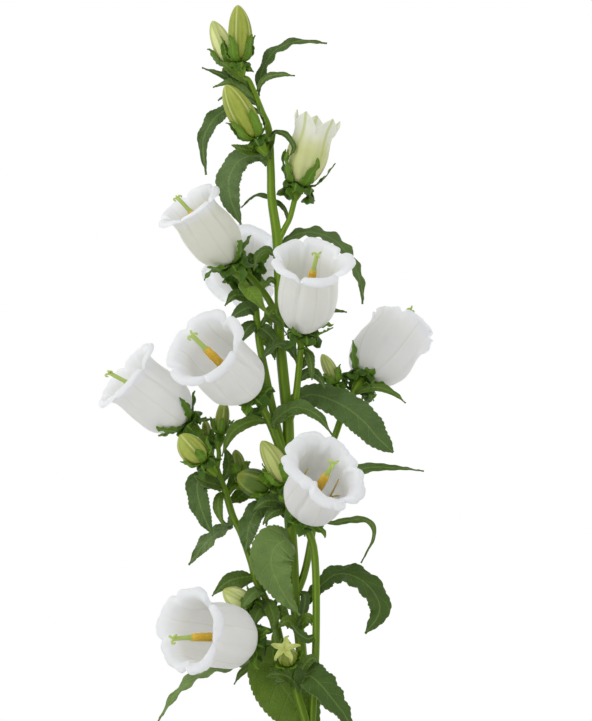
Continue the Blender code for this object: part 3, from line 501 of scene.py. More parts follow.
# Steps of a fine stem line for each step of the CAD's, and the CAD's steps along each stem
FINER = 4
STEM_STEPS = {"main": 26, "left": 14, "right": 7}
HALF_OPEN_STEPS = 6
HALF_OPEN_SWELL = 0.9


def with_radius(route):
    """A table's points in metres, with the radius as a fourth number."""
    return [Vector((*place(point), point[3] * GRID)) for point in route]


def pedicel_line(route, base, axis, steps, end_gap, swell):
    """The line of a pedicel: its route, then straight along the flower's axis to the ovary."""
    axis = Vector(axis).normalized()
    foot = place(base)
    start = with_radius(route)
    thin = start[-1][3]

    def on_axis(below, radius):
        return Vector((*(foot - axis * below), radius))

    line = smooth(start + [on_axis(APPROACH * swell, thin)], steps)
    ovary = [line[-1], on_axis(OVARY_WIDEST * swell, OVARY_RADIUS * swell),
             on_axis(end_gap, OVARY_TOP * swell)]
    return line[:-1] + smooth(ovary, 2 * FINER)


def bud_size(name):
    """Radius, length and axis of a bud, and how large its ovary is."""
    _, _, base, tip, radius, _ = BUDS[name]
    axis = place(tip) - place(base)
    return radius * GRID, axis.length, axis, min(1.0, SMALL_OVARY + radius * GRID / BUD_FULL_SIZE)


stem_lines = {"main": with_radius(STEM_MAIN[:1])
                      + smooth(with_radius(STEM_MAIN[1:]), STEM_STEPS["main"] * FINER)}
for key, route, bell in (("left", STEM_LEFT, "bell_far_left"), ("right", STEM_RIGHT, "bell_front")):
    base, axis = BELLS[bell][2:4]
    stem_lines[key] = with_radius(route[:1]) + pedicel_line(
        route[1:], base, axis, STEM_STEPS[key] * FINER, BELL_SEAT, 1)
# Every stalk: the stem that it grows on, and its line
stalks = {key: (key, line) for key, line in stem_lines.items()}
for name, (key, route, base, axis, *_) in BELLS.items():
    if route:
        stalks[name] = (key, pedicel_line(route, base, axis, 2 * len(route) * FINER, BELL_SEAT, 1))
key, route, base, axis, _, _ = HALF_OPEN
stalks["bell_half_open"] = (key, pedicel_line(route, base, axis, HALF_OPEN_STEPS * FINER,
                                              BELL_SEAT, HALF_OPEN_SWELL))
for name, (key, route, base, _, _, _) in BUDS.items():
    _, _, axis, swell = bud_size(name)
    stalks[name] = (key, pedicel_line(route, base, axis, len(route) * FINER, BUD_SEAT, swell))
print(len(stalks), "stalks")

# %% Stem skin
# Plant epidermis over a juicy stalk: smooth, waxy, a little glossy, paler on its ribs and
# streaked lengthwise. The streaks are about 1 mm wide.
stem_skin, tree, shader, where, rib = new_material("stem_epidermis", 0.42, ("rib",), IOR=1.42,
                                                   Specular_IOR_Level=0.3)
height = node(tree, "SeparateXYZ", {0: where}).outputs["Z"]
up_stem = node(tree, "MapRange", {0: height, 1: 0.20, 2: 0.50})
streak_place = node(tree, "Mapping", {"Vector": where, "Scale": (900, 900, 40)})
streaks = node(tree, "TexNoise", {"Vector": streak_place, "Scale": 1.0, "Detail": 2.0})
patches = node(tree, "TexNoise", {"Vector": where, "Scale": 70.0, "Detail": 3.0})
pale = node(tree, "MapRange", {0: rib, 1: 0.35, 2: 1.0, 4: 0.5}, **SOFT)
dark = node(tree, "MapRange", {0: streaks, 1: 0.5, 2: 0.75, 4: 0.35})
colour = node(tree, "Mix", {0: up_stem, 6: "#4a6510", 7: "#698a16"})
for share, over in ((patches, "#5f7f16"), (pale, "#8aa630"), (dark, "#405410")):
    colour = node(tree, "Mix", {0: share, 6: colour, 7: over})
relief = node(tree, "Bump", {"Height": streaks, "Strength": 0.25, "Distance": 0.0003})
feed(tree, shader, {"Base Color": colour, "Normal": relief})
print(stem_skin.name, "nodes:", len(tree.nodes))

# %% Stalks from curves
RING = 20
RIBS = 5
RIB_HEIGHT = 0.055


def stalk(name, line):
    """A closed stalk along a line of (x, y, z, radius), with ribs raised along it."""
    bpy.ops.object.select_all(action="DESELECT")
    bpy.ops.curve.primitive_nurbs_path_add(location=(0, 0, 0))
    piece = named(name)
    piece.data.splines.clear()
    spline = piece.data.splines.new("POLY")
    spline.points.add(len(line) - 1)
    for target, point in zip(spline.points, line):
        target.co = (*point[:3], 1)
        target.radius = point[3] / MM
    piece.data.bevel_depth = MM
    piece.data.bevel_resolution = (RING - 4) // 2
    piece.data.use_fill_caps = True
    bpy.ops.object.convert(target="MESH")
    bpy.ops.object.mode_set(mode="EDIT")
    bpy.ops.mesh.select_all(action="SELECT")
    bpy.ops.mesh.remove_doubles(threshold=0.01 * MM)
    bpy.ops.mesh.normals_make_consistent(inside=False)
    bpy.ops.object.mode_set(mode="OBJECT")
    return raise_ribs(bpy.context.active_object, line)


def raise_ribs(piece, line):
    """Moves each point in or out from the stalk's middle line, and keeps how high its rib is."""
    ribs = []
    middles = [point.to_3d() for point in line]
    for vertex in piece.data.vertices:
        k = min(range(len(line)), key=lambda i: (middles[i] - vertex.co).length_squared)
        ahead = (middles[min(k + 1, len(line) - 1)] - middles[max(k - 1, 0)]).normalized()
        out = vertex.co - middles[k]
        across = ahead.cross(Vector((0, 1, 0)))
        angle = math.atan2(out.dot(ahead.cross(across).normalized()), out.dot(across.normalized()))
        rib = math.cos(RIBS * angle)
        vertex.co = middles[k] + out * (1 + RIB_HEIGHT * rib)
        ribs.append(0.5 + 0.5 * rib)
    return kept(piece, rib=ribs)


for key in stem_lines:
    parts = [stalk(name, line) for name, (on, line) in stalks.items() if on == key]
    dressed(joined(parts, f"stem_{key}_stalks"), [f"stem_{key}"], stem_skin)

# %% [markdown]
# ## Leaves
#
# A leaf is a thin, toothed blade that bends along its midrib, folds up a little on both sides
# of it, and waves at its edge. Its veins are pressed into the upper side. It could be cut from
# a plane with a picture of a leaf; here a fine flat grid is bent instead, row by row, so that
# the teeth and the wave are real and hold from every side.

# %% The tables of leaves
# Leaves that are pieces of their own: the stem, the width, where along its length the leaf is
# fullest, the way its upper side faces, then the midrib from the stem to the tip
LEAVES = {
    "leaf_top": ("main", 13, 0.45, (-0.5, -0.7, 0.5), ((-44, 0, 623), (-40, 5, 641), (-34, 6, 658),
        (-23, 5, 671), (-2, 3, 679), (27, 0, 677))),
    "leaf_top_left": ("main", 16, 0.6, (-0.3, -0.9, 0.3), ((-38, 0, 608), (-52, 8, 613),
        (-67, 11, 613), (-79, 10, 608), (-90, 5, 596), (-97, 0, 577), (-94, -2, 545))),
    "leaf_high_left": ("main", 25, 0.62, (-0.3, -0.9, 0.3), ((-30, 0, 556), (-40, 4, 563),
        (-51, 3, 564), (-63, 0, 557), (-71, -4, 540), (-69, -7, 520), (-59, -7, 495))),
    "leaf_high_right": ("main", 16.5, 0.5, (0.3, -0.6, 0.7), ((-22, 0, 474), (-10, 4, 483),
        (10, 6, 488), (34, 7, 480), (50, 7, 462), (61, 6, 438), (63, 4, 416))),
    "leaf_bright": ("bell_high_left", 16, 0.45, (0.3, -0.9, 0.4), ((-48, -2, 424), (-54, -14, 432),
        (-49, -20, 428), (-42, -22, 419), (-30, -22, 404))),
    "leaf_saddle": ("bell_middle", 13, 0.5, (-0.2, -0.6, 0.8), ((-1, -16, 357), (-9, -18, 371),
        (-19, -18, 376), (-32, -14, 369), (-41, -10, 354))),
    "leaf_big": ("main", 31, 0.6, (0.1, -0.95, 0.25), ((-13, 0, 318), (-2, 10, 321), (15, 8, 325),
        (42, -4, 315), (63, -10, 299), (77, -13, 283), (93, -13, 268))),
    "leaf_middle": ("bell_left", 17, 0.5, (0.0, -0.8, 0.6), ((-27, -11, 290), (-25, -19, 299),
        (-14, -22, 309), (-2, -23, 313), (17, -23, 305), (32, -20, 286))),
    "leaf_left": ("left", 21, 0.5, (-0.3, -0.9, 0.3), ((-77, 4, 231), (-89, -2, 238),
        (-102, -5, 238), (-101, -7, 220), (-95, -7, 202), (-88, -6, 186))),
    "leaf_grey": ("left", 16, 0.5, (0.5, -0.4, 0.75), ((-68, 6, 204), (-75, 13, 193),
        (-95, 17, 176), (-112, 17, 154))),
    "leaf_hanging": ("main", 20, 0.55, (-0.2, -0.9, 0.3), ((-10, 0, 203), (-25, 9, 212),
        (-41, 6, 211), (-50, -2, 197), (-53, -6, 182), (-54, -7, 167))),
    "leaf_central": ("main", 40, 0.4, (0.1, -0.9, 0.4), ((-8, 0, 178), (-13, -19, 181),
        (-24, -24, 175), (-29, -27, 160), (-24, -28, 143), (-14, -26, 124), (0, -22, 106))),
    "leaf_right": ("main", 28, 0.64, (0.3, -0.7, 0.6), ((-4, 0, 105), (6, 14, 117), (21, 10, 134),
        (37, 4, 145), (56, -3, 143), (74, -7, 127), (79, -8, 108), (65, -8, 87))),
    "leaf_low_right": ("bud_star", 31, 0.47, (0.4, -0.8, 0.4), ((-2, -30, 29), (3, -36, 43),
        (9, -43, 48), (18, -47, 42), (31, -48, 27), (44, -46, 10), (54, -44, -9))),
    "leaf_low_left": ("left", 18, 0.45, (-0.3, -0.5, 0.8), ((-17, 13, 56), (-45, 11, 57),
        (-72, 6, 54), (-100, 1, 46), (-125, -3, 25), (-143, -8, -2))),
    "leaf_lowest": ("left", 56, 0.56, (0.05, -0.97, 0.2), ((-15, 13, 38), (-22, -4, 52),
        (-30, -10, 54), (-22, -14, 41), (-7, -15, 20), (4, -15, 0), (11, -15, -24))),
}
# Small leaves that are one with their stem: the stem's node, width, facing and midrib
SPRIGS = (
    ("main", 7, (0, -0.9, 0.4), ((-45, 0, 626), (-35, -4, 641), (-20, -6, 645), (-5, -6, 644))),
    ("main", 9, (0, -0.9, 0.4), ((-45, 0, 624), (-60, -3, 634), (-76, -4, 644), (-98, -4, 652))),
    ("main", 9, (0, -0.9, 0.4), ((-43, 0, 620), (-56, -6, 629), (-70, -8, 637), (-87, -8, 632))),
    ("main", 8, (-0.2, -0.9, 0.4), ((-40, 0, 613), (-54, -5, 622), (-68, -6, 628), (-82, -6, 619))),
    ("main", 6, (0, -0.9, 0.4), ((-31, 0, 573), (-25, -10, 587), (-13, -21, 583), (-6, -25, 570),
     (-14, -22, 559))),
    ("main", 6, (0, -0.7, 0.7), ((-12, -1, 498), (-16, 8, 512), (-32, 13, 523), (-45, 11, 525),
     (-59, 7, 513))),
    ("main", 9, (-0.3, -0.8, 0.5), ((-22, 0, 462), (-33, -6, 470), (-42, -14, 464),
     (-46, -18, 449))),
    ("main", 12, (-0.2, -0.9, 0.3), ((-46, -2, 418), (-56, -8, 424), (-66, -11, 424),
     (-75, -12, 414))),
    ("main", 14, (0, -0.9, 0.3), ((-44, -3, 404), (-50, -11, 412), (-60, -15, 408),
     (-71, -15, 400))),
    ("main", 8, (0.2, -0.8, 0.5), ((-41, -3, 386), (-46, -10, 392), (-53, -13, 385))),
    ("main", 7, (0.2, -0.8, 0.5), ((-41, -3, 390), (-33, -9, 402), (-23, -11, 398),
     (-13, -9, 386))),
    ("main", 6, (0, -0.8, 0.5), ((-21, 0, 434), (-29, -6, 440), (-36, -8, 432))),
    ("main", 8, (0.3, -0.8, 0.4), ((-0.5, -16, 350), (9, -18, 361), (13, -20, 349))),
    ("main", 12, (0.2, -0.8, 0.5), ((-2, -13, 338), (8, -15, 347), (18, -17, 343), (25, -18, 332))),
    ("main", 7, (-0.3, -0.9, 0), ((-31, -10, 302), (-36, -12, 314), (-27, -14, 331))),
    ("main", 12, (-0.1, -0.9, 0.4), ((-30, -10, 297), (-44, -17, 300), (-62, -17, 293),
     (-71, -15, 282), (-78, -13, 264))),
    ("main", 11, (0, -0.9, 0.3), ((-33, -9, 305), (-46, -4, 306), (-56, -2, 291))),
    ("main", 8, (0, -0.9, 0.3), ((-10, 0, 211), (-22, -7, 215), (-31, -9, 207), (-34, -8, 194))),
    ("main", 8, (0.2, -0.9, 0.3), ((-10, 0, 206), (0, -7, 205), (5, -10, 184))),
    ("main", 13, (0.1, -0.8, 0.5), ((25, 9, 255), (45, 10, 247), (70, 8, 252), (98, 5, 252),
     (124, 2, 249))),
    ("main", 7, (0.3, -0.8, 0.5), ((15, 7, 204), (32, 5, 197), (50, 1, 200), (68, -1, 199),
     (74, -2, 184), (61, -2, 157))),
    ("main", 9, (0.1, -0.9, 0.3), ((-3, 1, 128), (5, -6, 124), (3, -9, 108), (-3, -10, 94))),
    ("left", 10, (-0.3, -0.9, 0.2), ((-75, 5, 228), (-81, -3, 222), (-81, -6, 208),
     (-76, -6, 193))),
    ("left", 12, (-0.1, -0.9, 0.4), ((-37, 10, 126), (-42, -8, 130), (-52, -15, 122),
     (-60, -17, 108))),
    ("left", 12, (-0.2, -0.8, 0.5), ((-44, 9, 139), (-54, 17, 139), (-66, 19, 127))),
    ("left", 7, (0, -0.9, 0.3), ((-26, 12, 100), (-27, 2, 112), (-21, -4, 124))),
    ("left", 8, (-0.2, -0.8, 0.5), ((-26, 1, 75), (-40, -4, 62), (-58, -4, 48), (-66, -4, 36))),
    ("left", 9, (0, -0.9, 0.3), ((-32, 11, 115), (-39, 1, 108), (-46, -5, 95))),
    ("right", 10, (0.2, -0.8, 0.5), ((16, -27, 88), (8, -33, 84), (-2, -38, 90), (-9, -40, 100))),
)
print(len(LEAVES), "large leaves and", len(SPRIGS), "small ones in the CAD")

# %% Leaf widths
LEAF_STALK = 0.05
LEAF_FOOT = 0.24
LEAF_POINT = 0.0004
FOLD = 0.16
SPRIG_FULLEST = 0.45


def leaf_width(t, fullest):
    """The share of a leaf's full width at t, from 0 at its stalk to 1 at its tip."""
    past_stalk = max(0.0, t - LEAF_STALK) / (1 - LEAF_STALK)
    bulge = past_stalk ** (math.log(0.5) / math.log(fullest))
    return max(0.0, LEAF_FOOT * (1 - t) ** 2 + math.sin(math.pi * bulge))


def half_width_of(width, fullest, blunt=1):
    """The half width in metres, at each t, of a leaf that is this many grid steps wide."""
    return lambda t: max(width * GRID / 2 * leaf_width(t, fullest) ** blunt, LEAF_POINT)


def nearest_on(line, point):
    """The nearest point of a line, with its radius, and the way the line runs there."""
    best, along = line[0], None
    for a, b in zip(line, line[1:]):
        span = (b - a).to_3d()
        t = max(0.0, min(1.0, (point - a.to_3d()).dot(span) / span.length_squared))
        found = a + (b - a) * t
        if along is None or (found.to_3d() - point).length < (best.to_3d() - point).length:
            best, along = found, span.normalized()
    return best, along


# %% Leaf tissue
# A leaf blade: a dark upper side with a faint gloss of wax, impressed veins 4 to 6 mm apart and a
# net of finer ones about 1.5 mm wide, drawn at 2 mm so that it shows, and a paler, matt back. A
# young leaf is lighter, and a greyer leaf has painted sheen: grey put into its colour for the
# gloss that the white room lends it. Two numbers are kept for each leaf.
leaf_tissue, tree, shader, where, from_rib, vein, back, tone, grey, rim = new_material(
    "leaf_blade_tissue", 0.5, ("from_rib", "vein", "back", "tone", "grey", "rim"), IOR=1.42,
    Specular_IOR_Level=0.35)
patches = node(tree, "TexNoise", {"Vector": where, "Scale": 90.0, "Detail": 4.0, "Roughness": 0.6})
net = node(tree, "TexVoronoi", {"Vector": where, "Scale": 520.0}, feature="DISTANCE_TO_EDGE")
net_line = node(tree, "MapRange", {0: net, 1: 0.0, 2: 0.12, 3: 1.0, 4: 0.0})
# The vein number grows by 1 from vein to vein, so a vein runs where its fraction is a half
fraction = node(tree, "Math", {0: vein}, operation="FRACT")
off_vein = node(tree, "Math", {0: fraction, 1: 0.5}, operation="SUBTRACT")
from_vein = node(tree, "Math", {0: off_vein}, operation="ABSOLUTE")
vein_line = node(tree, "MapRange", {0: from_vein, 1: 0.0, 2: 0.09, 3: 1.0, 4: 0.0}, **SOFT)
rib_line = node(tree, "MapRange", {0: from_rib, 1: 0.0002, 2: 0.0006, 3: 1.0, 4: 0.0}, **SOFT)
rim_line = node(tree, "MapRange", {0: rim, 1: 0.93, 2: 1.0})
lush = node(tree, "Mix", {0: tone, 6: "#344e10", 7: "#6c8b1e"})
# Painted sheen: a greyer green stands for the gloss that the white room lends a leaf
painted_sheen_green = node(tree, "Mix", {0: tone, 6: "#425c30", 7: "#7d9656"})
green = node(tree, "Mix", {0: grey, 6: lush, 7: painted_sheen_green})
shade = node(tree, "MapRange", {0: patches, 1: 0.3, 2: 0.7, 3: 0.86, 4: 1.16})
colour = node(tree, "VectorMath", {0: green, "Scale": shade}, operation="SCALE")
for line, most, over in ((vein_line, 0.14, "#86a05a"), (net_line, 0.07, "#2f4620"),
                         (rib_line, 0.25, "#92ab58"), (rim_line, 0.2, "#84995a"),
                         (back, 0.5, "#75905a")):
    share = node(tree, "Math", {0: line, 1: most}, operation="MULTIPLY")
    colour = node(tree, "Mix", {0: share, 6: colour, 7: over})
gloss = node(tree, "MapRange", {0: back, 3: 0.40, 4: 0.7})
vein_relief = node(tree, "Math", {0: vein_line, 1: -0.6}, operation="MULTIPLY")
net_relief = node(tree, "Math", {0: net_line, 1: -0.35, 2: vein_relief}, operation="MULTIPLY_ADD")
relief = node(tree, "Bump", {"Height": net_relief, "Strength": 0.7, "Distance": 0.0004})
feed(tree, shader, {"Base Color": colour, "Roughness": gloss, "Normal": relief})
print(leaf_tissue.name, "nodes:", len(tree.nodes))

# %% Blanks for a broad leaf, a sprig and a sepal
ROWS_A_TOOTH = 4
BROAD_ROWS = 24 * ROWS_A_TOOTH
SPRIG_ROWS = 10 * ROWS_A_TOOTH
SEPAL_ROWS = 6 * ROWS_A_TOOTH
broad_blank = flat_grid("broad_blank", 12, BROAD_ROWS)
sprig_blank = flat_grid("sprig_blank", 8, SPRIG_ROWS)
sepal_blank = flat_grid("sepal_blank", 8, SEPAL_ROWS)
print("points of the flat blanks:",
      [len(blank.data.vertices) for blank in (broad_blank, sprig_blank, sepal_blank)])

# %% Bending a flat blank along a midrib
# How far each of the rows of one tooth stands out, as a share of the tooth's height
TOOTH_ROWS = (0.0, 0.5, 0.9, 1.0)
VEINS_A_SIDE = 9
VEIN_RUN = 0.13
VEIN_DEPTH = 0.00018
# Teeth are full where the half width is this many metres, and take up the blade's outer band
FULL_TEETH = 0.004
TEETH_FROM = 0.7
TEETH_BAND = 0.3
# The share of a tooth's height that is cut into the blade, and how rounded the fold is
TOOTH_CUT = 0.4
FOLD_ROUND = 0.15


def somewhere(chance):
    """A random place in the noise, so that no two pieces get the same bumps."""
    return Vector([chance.uniform(0, 50) for _ in range(3)])


def laid(blank, name, rows, midrib, half_width, face, chance, tooth=0.0008, wave=0.0011,
         wave_length=0.011, fold=FOLD, tone=0.0, grey=0.3, crumple=0.0004, crumple_size=0.011):
    """A copy of a flat blank with its middle on the midrib and its upper side to the face.

    half_width(t) is the half width from t = 0 at the stalk to t = 1 at the tip. The edge has
    teeth and waves up and down, the whole blade is a little crumpled, and chance is the source
    of what differs from leaf to leaf.
    """
    piece = copied(blank, name)
    line = smooth(midrib, rows)
    face = Vector(face)
    walked, frames = 0.0, []
    for row in range(rows + 1):
        ahead = (line[min(row + 1, rows)] - line[max(row - 1, 0)]).normalized()
        up = (face - ahead * face.dot(ahead)).normalized()
        frames.append((line[row], ahead.cross(up), up, half_width(row / rows), walked))
        walked += (line[min(row + 1, rows)] - line[row]).length
    starts = {side: chance.uniform(0, math.tau) for side in (-1, 1)}
    drift = somewhere(chance)
    lengths = {side: wave_length * chance.uniform(0.8, 1.3) for side in (-1, 1)}
    from_rib, veins, rims = [], [], []
    for vertex in piece.data.vertices:
        side, t = vertex.co.x, (vertex.co.y + 1) / 2
        row = round(t * rows)
        middle, out, up, half, walked = frames[row]
        left_right = 1 if side > 0 else -1
        edge = abs(side)
        tooth_here = tooth * min(1.0, half / FULL_TEETH) * TOOTH_ROWS[row % ROWS_A_TOOTH]
        in_band = max(0.0, (edge - TEETH_FROM) / TEETH_BAND)
        reach = edge * half + in_band * (tooth_here - tooth * TOOTH_CUT)
        if t in (0, 1):
            reach = edge * half
        # The wave dies away at both ends of the blade, and the crumpling at its stalk
        fades = math.sin(math.pi * min(1.0, t * 1.02)) ** 0.5
        ripple = math.sin(starts[left_right] + walked / lengths[left_right] * math.tau)
        phase = VEINS_A_SIDE * (t - VEIN_RUN * edge)
        rise = (fold * half * math.hypot(edge, FOLD_ROUND) + wave * fades * ripple * edge ** 2.5
                - VEIN_DEPTH * math.cos(math.tau * (phase - 0.5)) * 4 * edge * (1 - edge))
        flat_place = middle + out * (reach * left_right if edge > 1e-6 else 0)
        rise += crumple * noise.noise(flat_place / crumple_size + drift) * min(1.0, 5 * t)
        vertex.co = flat_place + up * rise
        from_rib.append(edge * half)
        veins.append(phase)
        rims.append(edge)
    return kept(piece, from_rib=from_rib, vein=veins, rim=rims, tone=tone, grey=grey)


# %% The sixteen large leaves
LEAF_THICKNESS = 0.0005
# How light each leaf is, and how grey with painted sheen, both from 0 to 1
LEAF_TONE = {"leaf_top": (0.2, 0.5), "leaf_top_left": (0.2, 0.6), "leaf_high_left": (0.35, 0.9),
             "leaf_high_right": (0.3, 0.6), "leaf_bright": (0.95, 0.1), "leaf_saddle": (0.15, 0.6),
             "leaf_big": (0.18, 0.6), "leaf_middle": (0.3, 0.4), "leaf_left": (0.2, 0.5),
             "leaf_grey": (0.45, 1.0), "leaf_hanging": (0.3, 0.6), "leaf_central": (0.6, 0.7),
             "leaf_right": (0.12, 0.1), "leaf_low_right": (0.12, 0.15),
             "leaf_low_left": (0.75, 0.9), "leaf_lowest": (0.75, 0.1)}
# The teeth are finer on a narrow leaf: a share of its width, up to a greatest height
TOOTH_SHARE = 0.035
TOOTH_MOST = 0.0007
LEAF_WAVE = 0.0013
# Where a leaf's foot starts, as a share of its stalk's radius
FOOT_SUNK = 0.8
# Leaves whose tip is blunt: the power that their width is raised to
BLUNT = {"leaf_big": 0.7, "leaf_left": 0.8, "leaf_high_left": 0.85, "leaf_right": 0.85}

for name, (key, width, fullest, face, midrib) in LEAVES.items():
    points = [place(point) for point in midrib]
    seat, along = nearest_on(stalks[key][1], points[0])
    out = points[1] - seat.to_3d()
    out = (out - along * out.dot(along)).normalized()
    # The foot is sunk a little into the stalk, as a leaf that grows out of it is
    points[0] = seat.to_3d() + out * seat[3] * FOOT_SUNK
    tone, grey = LEAF_TONE[name]
    blade = laid(broad_blank, name + "_blade", BROAD_ROWS, points,
                 half_width_of(width, fullest, BLUNT.get(name, 1)), face, random.Random(name),
                 tooth=min(TOOTH_MOST, TOOTH_SHARE * width * GRID), wave=LEAF_WAVE, tone=tone,
                 grey=grey)
    walled(blade, LEAF_THICKNESS)
    dressed(blade, [name], leaf_tissue)

# %% The small leaves, which are one with their stem
# More leaflets crowd where the flowers start: stem, width, facing and midrib as in the table
# above, then how light each is and how grey with painted sheen
LEAFLETS = (
    ("left", 13, (-0.2, -0.9, 0.4), ((-73, 5, 226), (-67, 15, 236), (-59, 17, 248), (-50, 15, 258)),
     0.6, 0.0),
    ("left", 13, (0.1, -0.9, 0.4), ((-74, 5, 228), (-64, 20, 240), (-52, 22, 246), (-41, 20, 243)),
     0.35, 0.1),
    ("left", 11, (-0.2, -0.9, 0.3), ((-78, 5, 236), (-72, 12, 250), (-72, 14, 262), (-76, 12, 272)),
     0.3, 0.1),
    ("left", 14, (0.1, -0.9, 0.3), ((-70, 6, 217), (-62, 22, 222), (-50, 24, 232), (-36, 22, 250)),
     0.45, 0.0),
    ("left", 12, (-0.1, -0.9, 0.4), ((-76, 5, 231), (-84, -14, 236), (-95, -22, 240),
     (-106, -22, 246)), 0.3, 0.1),
    ("main", 14, (0, -0.9, 0.4), ((-14, -3, 213), (-24, -14, 220), (-36, -18, 219),
     (-47, -16, 210)), 0.2, 0.2),
    ("main", 11, (-0.1, -0.9, 0.4), ((-12, -3, 210), (-20, -14, 211), (-30, -16, 206),
     (-37, -14, 196)), 0.3, 0.2),
    ("main", 9, (0.1, -0.9, 0.4), ((-12, -10, 214), (-4, -20, 224), (-2, -24, 238)), 0.5, 0.1),
    ("main", 9, (0, -0.9, 0.3), ((-21, 0, 400), (0, 6, 409), (25, 6, 411), (47, 4, 408)),
     0.15, 0.4),
    ("main", 8, (0.2, -0.9, 0.4), ((49, 19, 322), (66, 8, 331), (82, 4, 332), (95, 3, 326),
     (106, 3, 317)), 0.45, 0.1),
    ("main", 9, (0.1, -0.9, 0.2), ((1, -22, 370), (8, -26, 366), (11, -27, 354), (12, -26, 340)),
     0.3, 0.2),
    ("main", 10, (-0.3, -0.9, 0.3), ((-29, 0, 556), (-33, -8, 566), (-29, -14, 578),
     (-24, -15, 588)), 0.35, 0.1),
    ("main", 11, (0, -0.9, 0.4), ((-33, -8, 571), (-46, -16, 568), (-58, -20, 570),
     (-68, -20, 574)), 0.4, 0.1),
    ("main", 10, (0, -0.9, 0.4), ((-50, -3, 637), (-60, -12, 643), (-72, -14, 652),
     (-80, -12, 658)), 0.5, 0.1),
    ("right", 12, (0, -0.9, 0.4), ((-2, -30, 28), (-8, -38, 44), (-20, -44, 50), (-34, -42, 48)),
     0.3, 0.1),
    ("right", 10, (0.1, -0.9, 0.4), ((-4, -30, 40), (4, -40, 58), (12, -44, 66), (18, -44, 62)),
     0.35, 0.1),
    ("right", 10, (0, -0.9, 0.4), ((-6, -30, 46), (-14, -36, 62), (-24, -38, 80), (-26, -36, 94)),
     0.4, 0.1),
    ("left", 13, (0, -0.9, 0.4), ((-36, 10, 122), (-30, -6, 114), (-26, -12, 102), (-28, -14, 90)),
     0.4, 0.1),
    ("left", 12, (0, -0.9, 0.4), ((-38, 10, 127), (-34, -4, 136), (-24, -8, 138), (-14, -6, 130)),
     0.3, 0.2),
    ("left", 13, (0, -0.9, 0.4), ((-30, 11, 108), (-38, -4, 112), (-44, -10, 104), (-46, -12, 92)),
     0.35, 0.1),
    ("left", 13, (0.1, -0.9, 0.4), ((-28, 12, 103), (-22, -4, 110), (-16, -8, 104), (-12, -10, 92)),
     0.45, 0.0),
    ("left", 15, (0, -0.9, 0.3), ((-46, 9, 143), (-60, 4, 142), (-74, 2, 137), (-88, 0, 124)),
     0.3, 0.1),
    ("main", 12, (0, -0.9, 0.4), ((-1, -3, 88), (-8, -14, 98), (-15, -18, 100), (-22, -16, 93)),
     0.6, 0.0),
    ("main", 11, (0, -0.9, 0.4), ((0, -3, 90), (5, -14, 100), (9, -18, 103), (12, -18, 96)),
     0.55, 0.0),
    ("main", 14, (0.2, -0.9, 0.3), ((-42, -3, 392), (-36, -10, 390), (-28, -12, 382),
     (-22, -12, 368)), 0.15, 0.2),
    ("main", 11, (0, -0.9, 0.4), ((-40, -3, 376), (-34, -10, 380), (-28, -12, 373),
     (-25, -12, 360)), 0.4, 0.1),
    ("main", 13, (0, -0.9, 0.3), ((-43, -3, 398), (-50, -10, 394), (-56, -12, 386),
     (-60, -12, 376)), 0.1, 0.3),
    ("main", 11, (0, -0.9, 0.3), ((-21, -3, 403), (-27, -9, 410), (-31, -10, 403), (-28, -10, 393)),
     0.6, 0.0),
    ("main", 10, (0, -0.9, 0.3), ((-35, -3, 352), (-41, -10, 358), (-47, -12, 352),
     (-48, -12, 342)), 0.35, 0.1),
)
# One long leaf on the right is fullest near its stalk
LONG_SPRIG = 19
LONG_FULLEST = 0.2
SPRIG_THICKNESS = 0.8 * LEAF_THICKNESS
SPRIG_TOOTH = 0.0003
SPRIG_WAVE = 0.0005
LEAFLET_WAVE = 0.0006
SMALL_WAVE_LENGTH = 0.008


def small_leaf(name, width, face, midrib, fullest, chance, wave, tone, grey):
    """A small leaf from its row in a table, with a chance of its own."""
    return laid(sprig_blank, name, SPRIG_ROWS, [place(point) for point in midrib],
                half_width_of(width, fullest), face, chance, tooth=SPRIG_TOOTH, wave=wave,
                wave_length=SMALL_WAVE_LENGTH, tone=tone, grey=grey)


for key in stem_lines:
    blades = []
    for number, (on, width, face, midrib) in enumerate(SPRIGS):
        if on == key:
            chance = random.Random(number)
            # The sprigs' grey is painted sheen too, drawn at random
            tone, grey = chance.uniform(0.05, 0.5), chance.uniform(0.05, 0.5)
            fullest = LONG_FULLEST if number == LONG_SPRIG else SPRIG_FULLEST
            blades.append(small_leaf(f"sprig_{number}", width, face, midrib, fullest, chance,
                                     SPRIG_WAVE, tone, grey))
    for number, (on, width, face, midrib, tone, grey) in enumerate(LEAFLETS):
        if on == key:
            blades.append(small_leaf(f"leaflet_{number}", width, face, midrib, SPRIG_FULLEST,
                                     random.Random(number), LEAFLET_WAVE, tone, grey))
    leaflets = walled(joined(blades, f"stem_{key}_leaflets"), SPRIG_THICKNESS)
    dressed(leaflets, [f"stem_{key}"], leaf_tissue)

# %% [markdown]
# ## Calyxes
#
# Under each flower sits a calyx: five bright green sepals with small teeth and drawn-out tips,
# and between them five appendages that fold back over the ovary and crumple into a ball,
# drawn darker than the sepals as painted shade.
# Both are small leaves to Blender, so the same blank and the same bending serve, with other
# midribs, other widths and a stronger wave.

